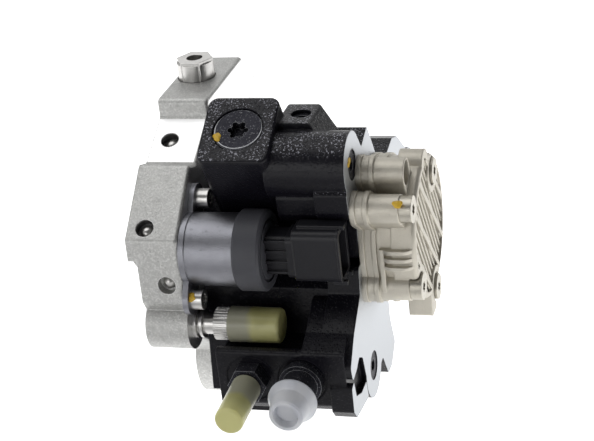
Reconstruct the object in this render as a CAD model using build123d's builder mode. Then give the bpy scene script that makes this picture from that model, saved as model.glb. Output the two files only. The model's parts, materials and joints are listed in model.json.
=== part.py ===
from build123d import *
from math import atan2, cos, degrees, hypot, radians, sin, sqrt
import os

os.makedirs("parts", exist_ok=True)

# Radial-piston diesel injection pump with a gear-type feed pump on its rear end.
# Millimetres. The origin is on the drive shaft's axis at the mounting face of the flange,
# +X runs along the shaft to the feed pump, +Z is up, and -Y is the metering unit's side.

# ---- stations along the shaft
flange_thick = 26.5       # mounting face to the joint between flange and housing
front_relief = 4.5        # lower front face, set back from the mounting face
housing_end = 108.0       # mounting face to the housing's rear face
cylinder_x = 54.5         # plane in which the three cylinders lie
nose_length = 28.0        # shaft end in front of the mounting face
spigot_length = 6.0       # pilot spigot in front of the mounting face

# ---- drive train
pilot_r = 34.0            # pilot spigot
journal_r = 15.0          # front journal of the shaft
rear_journal_r = 12.0
running_gap = 0.04        # radial clearance of a shaft in its bush
seal_land_r = 12.5        # shaft under the seal's lip
eccentric_throw = 3.5     # half of the plunger's stroke
eccentric_r = 17.5
eccentric_length = 31.0
bush_wall = 2.0
ring_r = 28.0             # cam ring over its round stretches
ring_flat = 25.0          # cam ring axis to each of its three flats
ring_width = 29.0
flat_cut = 40.0
cavity_r = 33.0           # cam chamber

# ---- cylinders
cylinder_angles = [120.0, 240.0, 0.0]   # from +Y towards +Z, seen along -X
cylinder_reach = 91.0     # shaft axis to a cylinder's end face
cylinder_length_x = 36.0  # cylinder block along the shaft
cylinder_width = 39.0     # cylinder block across the shaft
tappet_r = 13.45
tappet_height = 17.0
tappet_floor = 5.0
tappet_wall = 1.9
contact_gap = 0.3         # tappet floor to cam ring flat at the top of the stroke
chamber_top = 56.0        # outer end of the spring chamber, from the shaft axis
plunger_r = 3.75
plunger_length = 32.0
plunger_collar = 1.8
plunger_collar_thick = 2.5
valve_chamber_r = 9.0
valve_chamber_from = 74.0
plug_r = 11.9             # screw plug over the cylinder
plug_from = 81.0
plug_recess = 0.6         # its head below the cylinder's end face
plug_socket = 10.5        # across its six lobes
plug_socket_depth = 5.0
plug_relief_r = 5.0
plug_relief = 3.0
valve_seat_thick = 5.0
valve_seat_hole_r = 2.2
spring_wire = 2.4
spring_turns = 4.5
spring_mid_r = 9.2

# ---- flange
mount_hole_r = 4.3        # tapping size of an M10 hole
mount_circle_r = 62.0
mount_angles = [38.0, 158.0, 278.0]
mount_depth = 14.0
pad_r = 12.5
seal_r = 20.0
seal_pocket = 4.0         # seal bore behind the mounting face
seal_wall = 2.5
seal_lip = 1.5            # lip's reach inside the shaft's front journal
front_bush_from = 6.0
land_r = 48.0             # bearing land round the pilot spigot
flange_top = 78.0

# ---- metering unit on the flange's rear face
meter_y = -58.5
meter_z = 21.0
meter_body_r = 18.0
meter_cap_r = 20.0
meter_body_end = 53.5
meter_cap_end = 67.0
cap_bevel = 1.0
cap_groove_r = 15.5
cap_groove_width = 1.5
cap_groove_depth = 1.2
meter_ear_thick = 2.8
meter_ear_r = 7.5
meter_groove_from = 6.0   # groove for its seal, in front of the flange's rear face
meter_groove_width = 2.4
meter_seal_section = 1.3
meter_seal_width = 2.2
meter_screw_angle = 56.0
meter_screw_reach = 24.8
meter_nose_r = 9.0
meter_nose_length = 9.0

# ---- screws
cap_head_r = 5.0          # M6 cap screw
cap_head_height = 6.0
m6_r = 3.0
m6_socket = 2.5           # half across flats of its hexagon socket
socket_depth = 3.0
head_clearance = 0.3
flange_screw_grip = 8.0   # thread in the housing
meter_screw_grip = 11.0   # thread in the flange
lobe_width = 5.6

# ---- return fitting, along +X
return_y = -66.0
return_z = -16.5
return_boss_r = 13.0
return_thread_r = 5.0
return_thread_length = 13.0
return_nut_r = 8.1
return_nut_length = 7.2
return_neck_length = 11.3
return_cap_r = 8.9
return_cap_length = 26.0

# ---- connection block, ports along -Y
port_face_y = -82.5
port_z = -37.5
outlet_x = 57.0
inlet_x = 83.0
cap_wall = 1.2
cap_taper = 0.4           # degrees
cap_round = 1.5
cap_gap = 0.2

# ---- feed pump
gear_module = 2.5
gear_teeth = 12
pressure_angle = 25.0
gear_width = 12.0
gear_line_angle = 132.0   # driven gear seen from the driver gear
base_thick = 2.6
plate_thick = 3.6
cover_end = 136.0
feed_boss_end = 131.3
feed_r = 36.5
# the first boss has a sunk screw
feed_bosses = [(-31.0, 50.0), (-48.5, 39.0), (-40.0, -7.0), (-6.0, -25.5), (5.0, 34.5)]
feed_boss_r = 8.6
feed_screw_r = 3.4
feed_head_r = 6.6
feed_head_height = 6.0
feed_screw_depth = 14.0
bore_gap = 0.05

gear_distance = gear_module * gear_teeth
driven_y = gear_distance * cos(radians(gear_line_angle))
driven_z = gear_distance * sin(radians(gear_line_angle))
feed_y = driven_y / 2
feed_z = driven_z / 2
gear_tip_r = gear_module * (gear_teeth / 2 + 1) - 0.2
gear_root_r = gear_module * (gear_teeth / 2 - 1.25)
tappet_foot = ring_flat + eccentric_throw + contact_gap


def across(x):
    """Plane square to the shaft, with Y to the right and Z up."""
    return Plane.YZ.offset(x)


def along_cylinder(angle, reach):
    """Plane square to a cylinder's axis at a distance from the shaft."""
    a = radians(angle)
    start = (cylinder_x, reach * cos(a), reach * sin(a))
    return Plane(origin=start, x_dir=(1, 0, 0), z_dir=(0, cos(a), sin(a)))


def facing_front(x, y, z):
    """Plane that looks along -Y, for the ports."""
    return Plane(origin=(x, y, z), x_dir=(1, 0, 0), z_dir=(0, -1, 0))


def polar(r, angle):
    """Y and Z of a point on a circle about the shaft."""
    return (r * cos(radians(angle)), r * sin(radians(angle)))


def lobed_socket(width):
    """Sketch faces of a six-lobed socket, inside the current sketch."""
    Circle(0.37 * width)
    with PolarLocations(0.36 * width, 6):
        Circle(0.14 * width)


def coil_spring(foot, mid_r, wire, turns, length):
    """Coil spring that stands on the plane foot and fills the length between two seats."""
    with BuildPart() as spring:
        with BuildLine() as coil:
            Helix(pitch=(length - wire) / turns, height=length - wire, radius=mid_r,
                  center=foot.from_local_coords((0, 0, wire / 2)), direction=foot.z_dir)
        with BuildSketch(Plane(origin=coil.line @ 0, z_dir=coil.line % 0)):
            RegularPolygon(wire / 2, 6)
        sweep(is_frenet=True)
    return spring.part


# ---- mounting flange
collar_r = 43.5
collar_end = flange_thick + 10
register_length = 5.5
flange_screw_reach = 39.5
flange_screw_angles = [80.0, 200.0, 320.0]
flange_screw_head_at = 8.0
ear_at = (2.0, -71.5)
ear_r = 24.0
upper_face_z = 22.0
overflow_x = 10.6
overflow_y = 26.4
overflow_spotface_r = 10.0
overflow_spotface = 1.2
overflow_thread_r = 6.0
overflow_af = 17.0
overflow_shank = 24.0
overflow_collar_r = 9.52
overflow_crown = 1.6      # round collar below the hexagon's top
overflow_bore_r = 4.2
overflow_bore = 7.0
overflow_wall = 2.0       # end wall over the piston's bore
overflow_room = 4.0       # drilling below the valve's end
facet_plug_x = 9.0

flange_corner = 2.6
flange_edge = 1.8
flange_profile = [(-6.5, flange_top), (-6.5, 68.7), (-33.8, 55.4), (-42.8, 58.5), (-75.0, 33.0), (-76.5, 0),
                  (-72, -8), (-60, -14), (-57, -31), (-22.5, -59), (0, -55), (26, -62), (64, -22), (82, 12),
                  (84.9, 45.1), (78.9, 54.7), (54.2, flange_top)]
meter_screws = [(meter_y + s * meter_screw_reach * cos(radians(meter_screw_angle)),
                 meter_z + s * meter_screw_reach * sin(radians(meter_screw_angle))) for s in (1, -1)]
facet_plugs = [
    Plane(origin=(facet_plug_x, -20.2, 62.0), x_dir=(1, 0, 0), z_dir=(0, -0.438, 0.899)),
    Plane(origin=(facet_plug_x, -69.6, 37.3), x_dir=(1, 0, 0), z_dir=(0, -0.614, 0.789)),
    Plane(origin=(18.5, -76.1, 9.5), x_dir=(1, 0, 0), z_dir=(0, -1, 0.045)),
]
facet_plug_r = 4.6
facet_plug_depth = 5.0
ball_r = 3.6
ball_sunk = 3.0           # part of each ball that stands above its own drilling

with BuildPart() as mounting_flange:
    with BuildSketch(across(front_relief)) as outline:
        with BuildLine():
            Polyline(*flange_profile, close=True)
        make_face()
        fillet(outline.vertices(), flange_corner)
        with Locations(ear_at):
            Circle(ear_r)
    extrude(amount=flange_thick - front_relief)
    fillet(mounting_flange.faces().sort_by(Axis.X)[-1].edges(), flange_edge)
    with BuildSketch(across(front_relief)):
        with Locations((return_y, return_z)):
            Circle(return_boss_r)
    extrude(amount=flange_thick - front_relief)
    with BuildSketch(across(0)) as outline:
        with BuildLine():
            Polyline(*flange_profile, close=True)
        make_face()
        fillet(outline.vertices(), flange_corner)
        with Locations((0, upper_face_z + 100)):
            Rectangle(300, 200, mode=Mode.INTERSECT)
        Circle(land_r)
        with Locations(*[polar(mount_circle_r, a) for a in mount_angles]):
            Circle(pad_r)
    extrude(amount=front_relief)
    with BuildSketch(across(-spigot_length)):
        Circle(pilot_r)
    extrude(amount=spigot_length)
    with BuildSketch(across(flange_thick)):
        Circle(cavity_r)
    extrude(amount=register_length)
    # bearing bore, seal pocket and their step
    with BuildSketch(across(-spigot_length)):
        Circle(seal_r)
    extrude(amount=spigot_length + seal_pocket, mode=Mode.SUBTRACT)
    with BuildSketch(across(seal_pocket)):
        Circle(journal_r + bush_wall)
    extrude(amount=flange_thick + register_length - seal_pocket, mode=Mode.SUBTRACT)
    # tapped mounting holes
    with BuildSketch(across(0)):
        with Locations(*[polar(mount_circle_r, a) for a in mount_angles]):
            Circle(mount_hole_r)
    extrude(amount=mount_depth, mode=Mode.SUBTRACT)
    # screws into the housing
    with BuildSketch(across(0)):
        with Locations(*[polar(flange_screw_reach, a) for a in flange_screw_angles]):
            Circle(m6_r)
    extrude(amount=flange_thick, mode=Mode.SUBTRACT)
    with BuildSketch(across(0)):
        with Locations(*[polar(flange_screw_reach, a) for a in flange_screw_angles]):
            Circle(cap_head_r + head_clearance)
    extrude(amount=flange_screw_head_at, mode=Mode.SUBTRACT)
    # metering unit: nose bore and its two tapped holes
    with BuildSketch(across(flange_thick)):
        with Locations((meter_y, meter_z)):
            Circle(meter_nose_r)
    extrude(amount=-meter_nose_length - 1, mode=Mode.SUBTRACT)
    with BuildSketch(across(flange_thick)):
        with Locations(*meter_screws):
            Circle(m6_r)
    extrude(amount=-meter_screw_grip - 1, mode=Mode.SUBTRACT)
    # return fitting
    with BuildSketch(across(flange_thick)):
        with Locations((return_y, return_z)):
            Circle(return_thread_r)
    extrude(amount=-return_thread_length - 1, mode=Mode.SUBTRACT)
    # overflow valve
    with BuildSketch(Plane.XY.offset(flange_top)):
        with Locations((overflow_x, overflow_y)):
            Circle(overflow_spotface_r)
    extrude(amount=-overflow_spotface, mode=Mode.SUBTRACT)
    with BuildSketch(Plane.XY.offset(flange_top)):
        with Locations((overflow_x, overflow_y)):
            Circle(overflow_thread_r)
    extrude(amount=-overflow_spotface - overflow_shank - overflow_room, mode=Mode.SUBTRACT)
    # closed-off drillings
    for plane in facet_plugs:
        with BuildSketch(plane):
            Circle(facet_plug_r)
        extrude(amount=-facet_plug_depth, mode=Mode.SUBTRACT)
        with BuildSketch(plane):
            Circle(ball_r)
        extrude(amount=ball_sunk - facet_plug_depth - 2 * ball_r, mode=Mode.SUBTRACT)
mounting_flange.part.label = "mounting_flange"
export_step(mounting_flange.part, "parts/mounting_flange.step")

with BuildPart() as drilling_balls:
    for plane in facet_plugs:
        with Locations(plane.offset(ball_sunk - facet_plug_depth - ball_r)):
            Sphere(ball_r)
drilling_balls.part.label = "drilling_balls"
export_step(drilling_balls.part, "parts/drilling_balls.step")

with BuildPart() as flange_screws:
    with BuildSketch(across(flange_screw_head_at - cap_head_height)):
        with Locations(*[polar(flange_screw_reach, a) for a in flange_screw_angles]):
            Circle(cap_head_r)
    extrude(amount=cap_head_height)
    with BuildSketch(across(flange_screw_head_at)):
        with Locations(*[polar(flange_screw_reach, a) for a in flange_screw_angles]):
            Circle(m6_r)
    extrude(amount=flange_thick - flange_screw_head_at + flange_screw_grip)
    with BuildSketch(across(flange_screw_head_at - cap_head_height)):
        with Locations(*[polar(flange_screw_reach, a) for a in flange_screw_angles]):
            RegularPolygon(m6_socket, 6, major_radius=False)
    extrude(amount=socket_depth, mode=Mode.SUBTRACT)
flange_screws.part.label = "flange_screws"
export_step(flange_screws.part, "parts/flange_screws.step")

with BuildPart() as shaft_seal:
    with BuildSketch(across(1 - spigot_length)):
        Circle(seal_r)
        Circle(seal_land_r, mode=Mode.SUBTRACT)
    extrude(amount=spigot_length + seal_pocket - 2)
    with BuildSketch(across(1 - spigot_length)):
        Circle(seal_r - seal_wall)
        Circle(seal_land_r + seal_lip, mode=Mode.SUBTRACT)
    extrude(amount=spigot_length, mode=Mode.SUBTRACT)
shaft_seal.part.label = "shaft_seal"
export_step(shaft_seal.part, "parts/shaft_seal.step")

with BuildPart() as front_bush:
    with BuildSketch(across(front_bush_from)):
        Circle(journal_r + bush_wall)
        Circle(journal_r + running_gap, mode=Mode.SUBTRACT)
    extrude(amount=flange_thick + register_length - front_bush_from)
front_bush.part.label = "front_bush"
export_step(front_bush.part, "parts/front_bush.step")

# ---- overflow valve, screwed in from above
overflow_base = flange_top - overflow_spotface
overflow_head = 11.5
piston_r = 3.4
with BuildPart() as overflow_valve:
    with BuildSketch(Plane.XY.offset(overflow_base)):
        with Locations((overflow_x, overflow_y)):
            RegularPolygon(overflow_af / 2, 6, major_radius=False)
    extrude(amount=overflow_head)
    with BuildSketch(Plane.XY.offset(overflow_base)):
        with Locations((overflow_x, overflow_y)):
            Circle(overflow_collar_r)
    extrude(amount=overflow_head - overflow_crown)
    with BuildSketch(Plane.XY.offset(overflow_base)):
        with Locations((overflow_x, overflow_y)):
            Circle(overflow_thread_r)
    extrude(amount=-overflow_shank)
    with BuildSketch(Plane.XY.offset(overflow_base + overflow_head)):
        with Locations((overflow_x, overflow_y)):
            Circle(overflow_bore_r)
    extrude(amount=-overflow_bore, mode=Mode.SUBTRACT)
    with BuildSketch(Plane.XY.offset(overflow_base - overflow_shank)):
        with Locations((overflow_x, overflow_y)):
            Circle(piston_r + running_gap)
    extrude(amount=overflow_shank - overflow_wall, mode=Mode.SUBTRACT)
overflow_valve.part.label = "overflow_valve"
export_step(overflow_valve.part, "parts/overflow_valve.step")

# ---- housing: core, cylinder blocks, rear plate, connection block
core_r = cavity_r + 5.5
rear_bore_r = rear_journal_r + bush_wall + 1
cavity_length = 46.0      # cam chamber along the shaft
block_foot = 20.0         # cylinder blocks start inside the core
block_root = 41.0
block_flare = 10.0        # their flared foot, wider each way in all
block_round = 5.0
plug_rim = 0.8            # countersink round each screw plug
plug_rim_depth = 1.8
tappet_bore_from = 26.0
rear_plug_length = 12.0
rear_plug_sunk = 0.5
rear_plug_socket = 3.0    # half across flats
gallery_plug_length = 10.0
gallery_plug_sunk = 2.0
foot_corner = 1.2
web_from = 72.0
plate_from = housing_end - 16
rear_boss_r = 16.4
rear_plug_r = 7.5
gallery_plug_r = 5.0
outlet_thread_r = 5.5
inlet_thread_r = 7.0
port_depth = 10.0
rear_boss_at = [(-42.2, 58.9), (-40.2, -53.2), (71.0, 0.0)]
gallery_plug_at = (80.4, -24.6)
gallery_top = 78.0
gallery_width = 24.0
web_share = 0.93

upper_web = [(-20, 10), (-45.5, 10), (-46, 34.6), (-54, 35.2), (-57.5, 40), (-58.5, 50), (-42, 70),
             (-27, 66), (-22.5, 59.6), (-8.0, 64.4), (1.8, 48.0), (6, 40), (12, 20)]
lower_web = [(0, 0), (-50, 8), (-52.4, -5.9), (-70.4, -17.3), (-82.4, -29.5), (-80.9, -37.5), (-72, -36),
             (-66, -33), (-59.5, -37.0), (-57.2, -46.3), (-52, -64), (-36, -68.5), (-31.8, -61.9),
             (-21.1, -60.0), (-13, -74.5), (-4, -75), (7.0, -67.0), (1.3, -49.0), (2, -36), (10, -20)]
far_web = [(0, 36), (27.9, 34.2), (40.9, 36.4), (52, 33), (71, 17), (71, -17), (52, -30), (38, -33),
           (22, -34), (2, -36)]
block_low = [(-30, -28), (-73, -28), (-78, -22), (port_face_y, -22), (port_face_y, -51),
             (-79.5, -55), (-58, -62), (-30, -50)]
block_high = [(-30, -10), (-54, -8), (-70.4, -17.3)] + block_low[3:]
lower_wall = [(0, 0), (-36, 4), (-49, -5), (-53, -28), (-58, -60), (-30, -52), (0, -38)]
foot = [(-84, -40), (-79.5, -38.5), (-77.5, -48), (-68, -52), (-57.5, -52), (-56, -62), (-80, -58.5),
        (-84.5, -53)]
wall_from = flange_thick + 0.5
foot_from = 97.0
web_corner = 2.2
block_edge = 1.5
block_corner = 2.0
port_spotface_r = 12.2
port_spotface = 0.8
slope_from = 87.0
slope_to = 97.0
slope_drop = 17.0
gallery_from = gallery_plug_at[0] - 10.5
gallery_foot = 40.0
block_from = 40.5
block_step_x = 84.0
block_to = housing_end - 3

with BuildPart() as pump_housing:
    with BuildSketch(across(flange_thick)):
        Circle(collar_r)
    extrude(amount=collar_end - flange_thick)
    with BuildSketch(across(collar_end)):
        Circle(core_r)
    extrude(amount=housing_end - collar_end)
    for angle in cylinder_angles:
        with BuildSketch(along_cylinder(angle, block_foot)):
            RectangleRounded(cylinder_length_x, cylinder_width, block_round)
        extrude(amount=cylinder_reach - block_foot)
        outward = Axis((0, 0, 0), (0, cos(radians(angle)), sin(radians(angle))))
        fillet(pump_housing.faces().sort_by(outward)[-1].edges(), block_edge)
        with BuildSketch(along_cylinder(angle, block_root)):
            Rectangle(cylinder_length_x - 0.2, cylinder_width - 0.2)
        with BuildSketch(along_cylinder(angle, block_foot + 5)):
            Rectangle(cylinder_length_x + block_flare, cylinder_width + block_flare)
        loft()
    for web in (upper_web, lower_web, far_web):
        with BuildSketch(across(plate_from)) as outline:
            with BuildLine():
                Polyline(*web, close=True)
            make_face()
            fillet(outline.vertices(), web_corner)
        extrude(amount=housing_end - plate_from)
    with BuildSketch(across(cylinder_x + 14)):
        with Locations(*rear_boss_at):
            Circle(rear_boss_r)
    extrude(amount=housing_end - cylinder_x - 14)
    for web in (upper_web, far_web):
        with BuildSketch(across(web_from)) as outline:
            with BuildLine():
                Polyline(*[(web_share * y, web_share * z) for y, z in web], close=True)
            make_face()
            fillet(outline.vertices(), web_corner)
        extrude(amount=plate_from - web_from)
    with BuildSketch(across(wall_from)):
        with BuildLine():
            Polyline(*lower_wall, close=True)
        make_face()
    extrude(amount=plate_from - wall_from)
    for profile, start in ((block_low, block_from), (block_high, block_step_x)):
        with BuildSketch(across(start)) as outline:
            with BuildLine():
                Polyline(*profile, close=True)
            make_face()
            fillet(outline.vertices(), block_corner)
        extrude(amount=block_to - start)
    with BuildSketch(across(housing_end - feed_screw_depth - 3)):
        with Locations(*feed_bosses[2:]):
            Circle(feed_boss_r)
    extrude(amount=feed_screw_depth + 3)
    with BuildSketch(across(foot_from)) as outline:
        with BuildLine():
            Polyline(*foot, close=True)
        make_face()
        fillet(outline.vertices(), foot_corner)
    extrude(amount=housing_end - foot_from)
    # gallery block, sloping down towards the feed pump
    with BuildSketch(Plane.XZ.offset(-gallery_plug_at[1] - gallery_width / 2)) as outline:
        with BuildLine():
            Polyline((gallery_from, gallery_foot), (gallery_from, gallery_top), (slope_from, gallery_top),
                     (slope_to, gallery_top - slope_drop), (slope_to, gallery_foot), close=True)
        make_face()
        fillet(outline.vertices(), block_corner)
    extrude(amount=gallery_width)
    # cam chamber, bearings and registers
    with BuildSketch(across(flange_thick)):
        Circle(cavity_r)
    extrude(amount=cavity_length, mode=Mode.SUBTRACT)
    with BuildSketch(across(flange_thick + cavity_length)):
        Circle(rear_bore_r)
    extrude(amount=housing_end - flange_thick - cavity_length, mode=Mode.SUBTRACT)
    with BuildSketch(across(flange_thick)):
        with Locations(*[polar(flange_screw_reach, a) for a in flange_screw_angles]):
            Circle(m6_r)
    extrude(amount=flange_screw_grip, mode=Mode.SUBTRACT)
    # cylinders
    for angle in cylinder_angles:
        with BuildSketch(along_cylinder(angle, tappet_bore_from)):
            Circle(tappet_r + bore_gap)
        extrude(amount=chamber_top - tappet_bore_from, mode=Mode.SUBTRACT)
        with BuildSketch(along_cylinder(angle, chamber_top)):
            Circle(plunger_r + bore_gap)
        extrude(amount=valve_chamber_from - chamber_top, mode=Mode.SUBTRACT)
        with BuildSketch(along_cylinder(angle, valve_chamber_from)):
            Circle(valve_chamber_r)
        extrude(amount=plug_from - valve_chamber_from, mode=Mode.SUBTRACT)
        with BuildSketch(along_cylinder(angle, plug_from)):
            Circle(plug_r)
        extrude(amount=cylinder_reach - plug_from, mode=Mode.SUBTRACT)
        with BuildSketch(along_cylinder(angle, cylinder_reach - plug_rim_depth)):
            Circle(plug_r + plug_rim)
        extrude(amount=plug_rim_depth, mode=Mode.SUBTRACT)
    # ports, plugs and feed pump screws
    with BuildSketch(facing_front(outlet_x, port_face_y + port_depth, port_z)):
        Circle(outlet_thread_r)
        with Locations((inlet_x - outlet_x, 0)):
            Circle(inlet_thread_r)
    extrude(amount=2 * port_depth, mode=Mode.SUBTRACT)
    with BuildSketch(facing_front(outlet_x, port_face_y + port_spotface, port_z)):
        Circle(port_spotface_r)
        with Locations((inlet_x - outlet_x, 0)):
            Circle(port_spotface_r)
    extrude(amount=port_depth, mode=Mode.SUBTRACT)
    with BuildSketch(across(housing_end)):
        with Locations(*rear_boss_at):
            Circle(rear_plug_r)
    extrude(amount=-rear_plug_length - rear_plug_sunk, mode=Mode.SUBTRACT)
    with BuildSketch(Plane.XY.offset(gallery_top)):
        with Locations(gallery_plug_at):
            Circle(gallery_plug_r)
    extrude(amount=-gallery_plug_length - gallery_plug_sunk, mode=Mode.SUBTRACT)
    with BuildSketch(across(housing_end)):
        with Locations(*feed_bosses):
            Circle(feed_screw_r)
    extrude(amount=-feed_screw_depth - 1, mode=Mode.SUBTRACT)
pump_housing.part.label = "pump_housing"
export_step(pump_housing.part, "parts/pump_housing.step")

# ---- shaft, turning in the flange's and the housing's bushes
eccentric_from = cylinder_x - eccentric_length / 2
eccentric_to = cylinder_x + eccentric_length / 2
rear_bush_from = 76.0
rear_bush_length = 16.0
tang_width = 7.0
tang_length = 5.0
shaft_end = 95.0
nose_thread_r = 7.0
nose_thread_to = -17.0
taper_small_r = 9.2
taper_large_r = 11.6
taper_to = -7.0
collar_rise = 2.5         # collar behind the front journal
rear_collar_rise = 1.5
centre_hole_r = 2.5
centre_hole = 5.0
key_from = -15.5
key_length = 6.0
key_width = 4.0
key_low = 7.0
key_top = 12.0
ecc_y, ecc_z = polar(eccentric_throw, cylinder_angles[0])

with BuildPart() as drive_shaft:
    with BuildSketch(Plane.XY):
        with BuildLine():
            Polyline((-nose_length, 0), (-nose_length, nose_thread_r - 1), (1 - nose_length, nose_thread_r),
                     (nose_thread_to, nose_thread_r), (nose_thread_to, taper_small_r),
                     (taper_to, taper_large_r),
                     (taper_to, seal_land_r), (front_bush_from, seal_land_r), (front_bush_from, journal_r),
                     (flange_thick + register_length + 1, journal_r),
                     (flange_thick + register_length + 1, journal_r + collar_rise),
                     (eccentric_from, journal_r + collar_rise), (eccentric_from, rear_journal_r + 1),
                     (eccentric_to, rear_journal_r + 1), (eccentric_to, rear_journal_r + rear_collar_rise),
                     (rear_bush_from - 1, rear_journal_r + rear_collar_rise),
                     (rear_bush_from - 1, rear_journal_r), (shaft_end, rear_journal_r), (shaft_end, 0),
                     close=True)
        make_face()
    revolve(axis=Axis.X)
    with BuildSketch(across(eccentric_from)):
        with Locations((ecc_y, ecc_z)):
            Circle(eccentric_r)
    extrude(amount=eccentric_length)
    with BuildSketch(across(shaft_end)):
        Rectangle(tang_width, 2 * rear_journal_r)
        Circle(rear_journal_r, mode=Mode.INTERSECT)
    extrude(amount=tang_length)
    with BuildSketch(across(key_from)):
        with Locations((0, (key_low + key_top + 1) / 2)):
            Rectangle(key_width, key_top + 1 - key_low)
    extrude(amount=key_length, mode=Mode.SUBTRACT)
    with BuildSketch(across(-nose_length)):
        Circle(centre_hole_r)
    extrude(amount=centre_hole, mode=Mode.SUBTRACT)
drive_shaft.part.label = "drive_shaft"
export_step(drive_shaft.part, "parts/drive_shaft.step")

with BuildPart() as shaft_key:
    with BuildSketch(across(key_from)):
        with Locations((0, (key_low + key_top) / 2)):
            Rectangle(key_width, key_top - key_low)
    extrude(amount=key_length)
shaft_key.part.label = "shaft_key"
export_step(shaft_key.part, "parts/shaft_key.step")

with BuildPart() as rear_bush:
    with BuildSketch(across(rear_bush_from)):
        Circle(rear_bore_r)
        Circle(rear_journal_r + running_gap, mode=Mode.SUBTRACT)
    extrude(amount=rear_bush_length)
rear_bush.part.label = "rear_bush"
export_step(rear_bush.part, "parts/rear_bush.step")

# ---- cam ring: turns on the eccentric, so it circles without spinning and drives the tappets
with BuildPart() as cam_ring:
    with BuildSketch(across(cylinder_x - ring_width / 2)):
        with Locations((ecc_y, ecc_z)):
            Circle(ring_r)
        for angle in cylinder_angles:
            away_y, away_z = polar(ring_flat + flat_cut / 2, angle)
            with Locations((ecc_y + away_y, ecc_z + away_z)):
                Rectangle(flat_cut, 2 * ring_r, rotation=angle, mode=Mode.SUBTRACT)
        with Locations((ecc_y, ecc_z)):
            Circle(eccentric_r + bush_wall, mode=Mode.SUBTRACT)
    extrude(amount=ring_width)
cam_ring.part.label = "cam_ring"
export_step(cam_ring.part, "parts/cam_ring.step")

with BuildPart() as ring_bush:
    with BuildSketch(across(cylinder_x - ring_width / 2)):
        with Locations((ecc_y, ecc_z)):
            Circle(eccentric_r + bush_wall)
            Circle(eccentric_r + running_gap, mode=Mode.SUBTRACT)
    extrude(amount=ring_width)
ring_bush.part.label = "ring_bush"
export_step(ring_bush.part, "parts/ring_bush.step")

# ---- three cylinders: tappet, plunger, spring, inlet valve and screw plug
spring_room = chamber_top - tappet_foot - tappet_floor
for number, angle in enumerate(cylinder_angles, start=1):
    with BuildPart() as tappet:
        with BuildSketch(along_cylinder(angle, tappet_foot)):
            Circle(tappet_r)
        extrude(amount=tappet_height)
        with BuildSketch(along_cylinder(angle, tappet_foot + tappet_floor)):
            Circle(tappet_r - tappet_wall)
        extrude(amount=tappet_height, mode=Mode.SUBTRACT)
    tappet.part.label = f"tappet_{number}"
    export_step(tappet.part, f"parts/tappet_{number}.step")

    with BuildPart() as plunger:
        with BuildSketch(along_cylinder(angle, tappet_foot + tappet_floor)):
            Circle(plunger_r + plunger_collar)
        extrude(amount=plunger_collar_thick)
        with BuildSketch(along_cylinder(angle, tappet_foot + tappet_floor)):
            Circle(plunger_r)
        extrude(amount=plunger_length)
    plunger.part.label = f"plunger_{number}"
    export_step(plunger.part, f"parts/plunger_{number}.step")

    plunger_spring = coil_spring(along_cylinder(angle, tappet_foot + tappet_floor),
                                 spring_mid_r, spring_wire, spring_turns, spring_room)
    plunger_spring.label = f"plunger_spring_{number}"
    export_step(plunger_spring, f"parts/plunger_spring_{number}.step")

with BuildPart() as cylinder_plugs:
    for angle in cylinder_angles:
        with BuildSketch(along_cylinder(angle, plug_from)):
            Circle(plug_r)
        extrude(amount=cylinder_reach - plug_recess - plug_from)
        with BuildSketch(along_cylinder(angle, cylinder_reach - plug_recess)):
            lobed_socket(plug_socket)
        extrude(amount=-plug_socket_depth, mode=Mode.SUBTRACT)
        with BuildSketch(along_cylinder(angle, plug_from)):
            Circle(plug_relief_r)
        extrude(amount=plug_relief, mode=Mode.SUBTRACT)
cylinder_plugs.part.label = "cylinder_plugs"
export_step(cylinder_plugs.part, "parts/cylinder_plugs.step")

with BuildPart() as inlet_valve_seats:
    for angle in cylinder_angles:
        with BuildSketch(along_cylinder(angle, plug_from - valve_seat_thick)):
            Circle(valve_chamber_r)
            Circle(valve_seat_hole_r, mode=Mode.SUBTRACT)
        extrude(amount=valve_seat_thick)
inlet_valve_seats.part.label = "inlet_valve_seats"
export_step(inlet_valve_seats.part, "parts/inlet_valve_seats.step")

# ---- metering unit: throttles the fuel that reaches the cylinders
spool_r = 4.0
spool_from = flange_thick - meter_nose_length + 2
spool_length = 20.0
spool_land = 4.0
spool_groove = 1.2
spool_groove_width = 4.0
armature_r = 7.0
armature_length = 8.0
meter_spring_r = 4.5
meter_spring_wire = 0.9
meter_spring_turns = 2.5
coil_from = 34.0
coil_to = 51.0
coil_r = 15.0
tube_r = 8.0
meter_at = (meter_y, meter_z)
with BuildPart() as metering_body:
    with BuildSketch(across(flange_thick)):
        with Locations(meter_at):
            Circle(meter_body_r + 0.6)
            Rectangle(2 * meter_screw_reach, 2 * meter_ear_r, rotation=meter_screw_angle)
        with Locations(*meter_screws):
            Circle(meter_ear_r)
        with Locations(*meter_screws):
            Circle(m6_r, mode=Mode.SUBTRACT)
    extrude(amount=meter_ear_thick)
    with BuildSketch(across(flange_thick)):
        with Locations(meter_at):
            Circle(meter_body_r)
    extrude(amount=meter_body_end - flange_thick)
    with BuildSketch(across(flange_thick - meter_nose_length)):
        with Locations(meter_at):
            Circle(meter_nose_r)
    extrude(amount=meter_nose_length)
    with BuildSketch(across(flange_thick - meter_groove_from)):
        with Locations(meter_at):
            Circle(meter_nose_r)
            Circle(meter_nose_r - meter_seal_section, mode=Mode.SUBTRACT)
    extrude(amount=meter_groove_width, mode=Mode.SUBTRACT)
    with BuildSketch(across(flange_thick - meter_nose_length)):
        with Locations(meter_at):
            Circle(spool_r + running_gap)
    extrude(amount=meter_nose_length + coil_from - flange_thick, mode=Mode.SUBTRACT)
    with BuildSketch(across(coil_from)):
        with Locations(meter_at):
            Circle(coil_r)
    extrude(amount=meter_body_end - coil_from, mode=Mode.SUBTRACT)
metering_body.part.label = "metering_body"
export_step(metering_body.part, "parts/metering_body.step")

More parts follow.
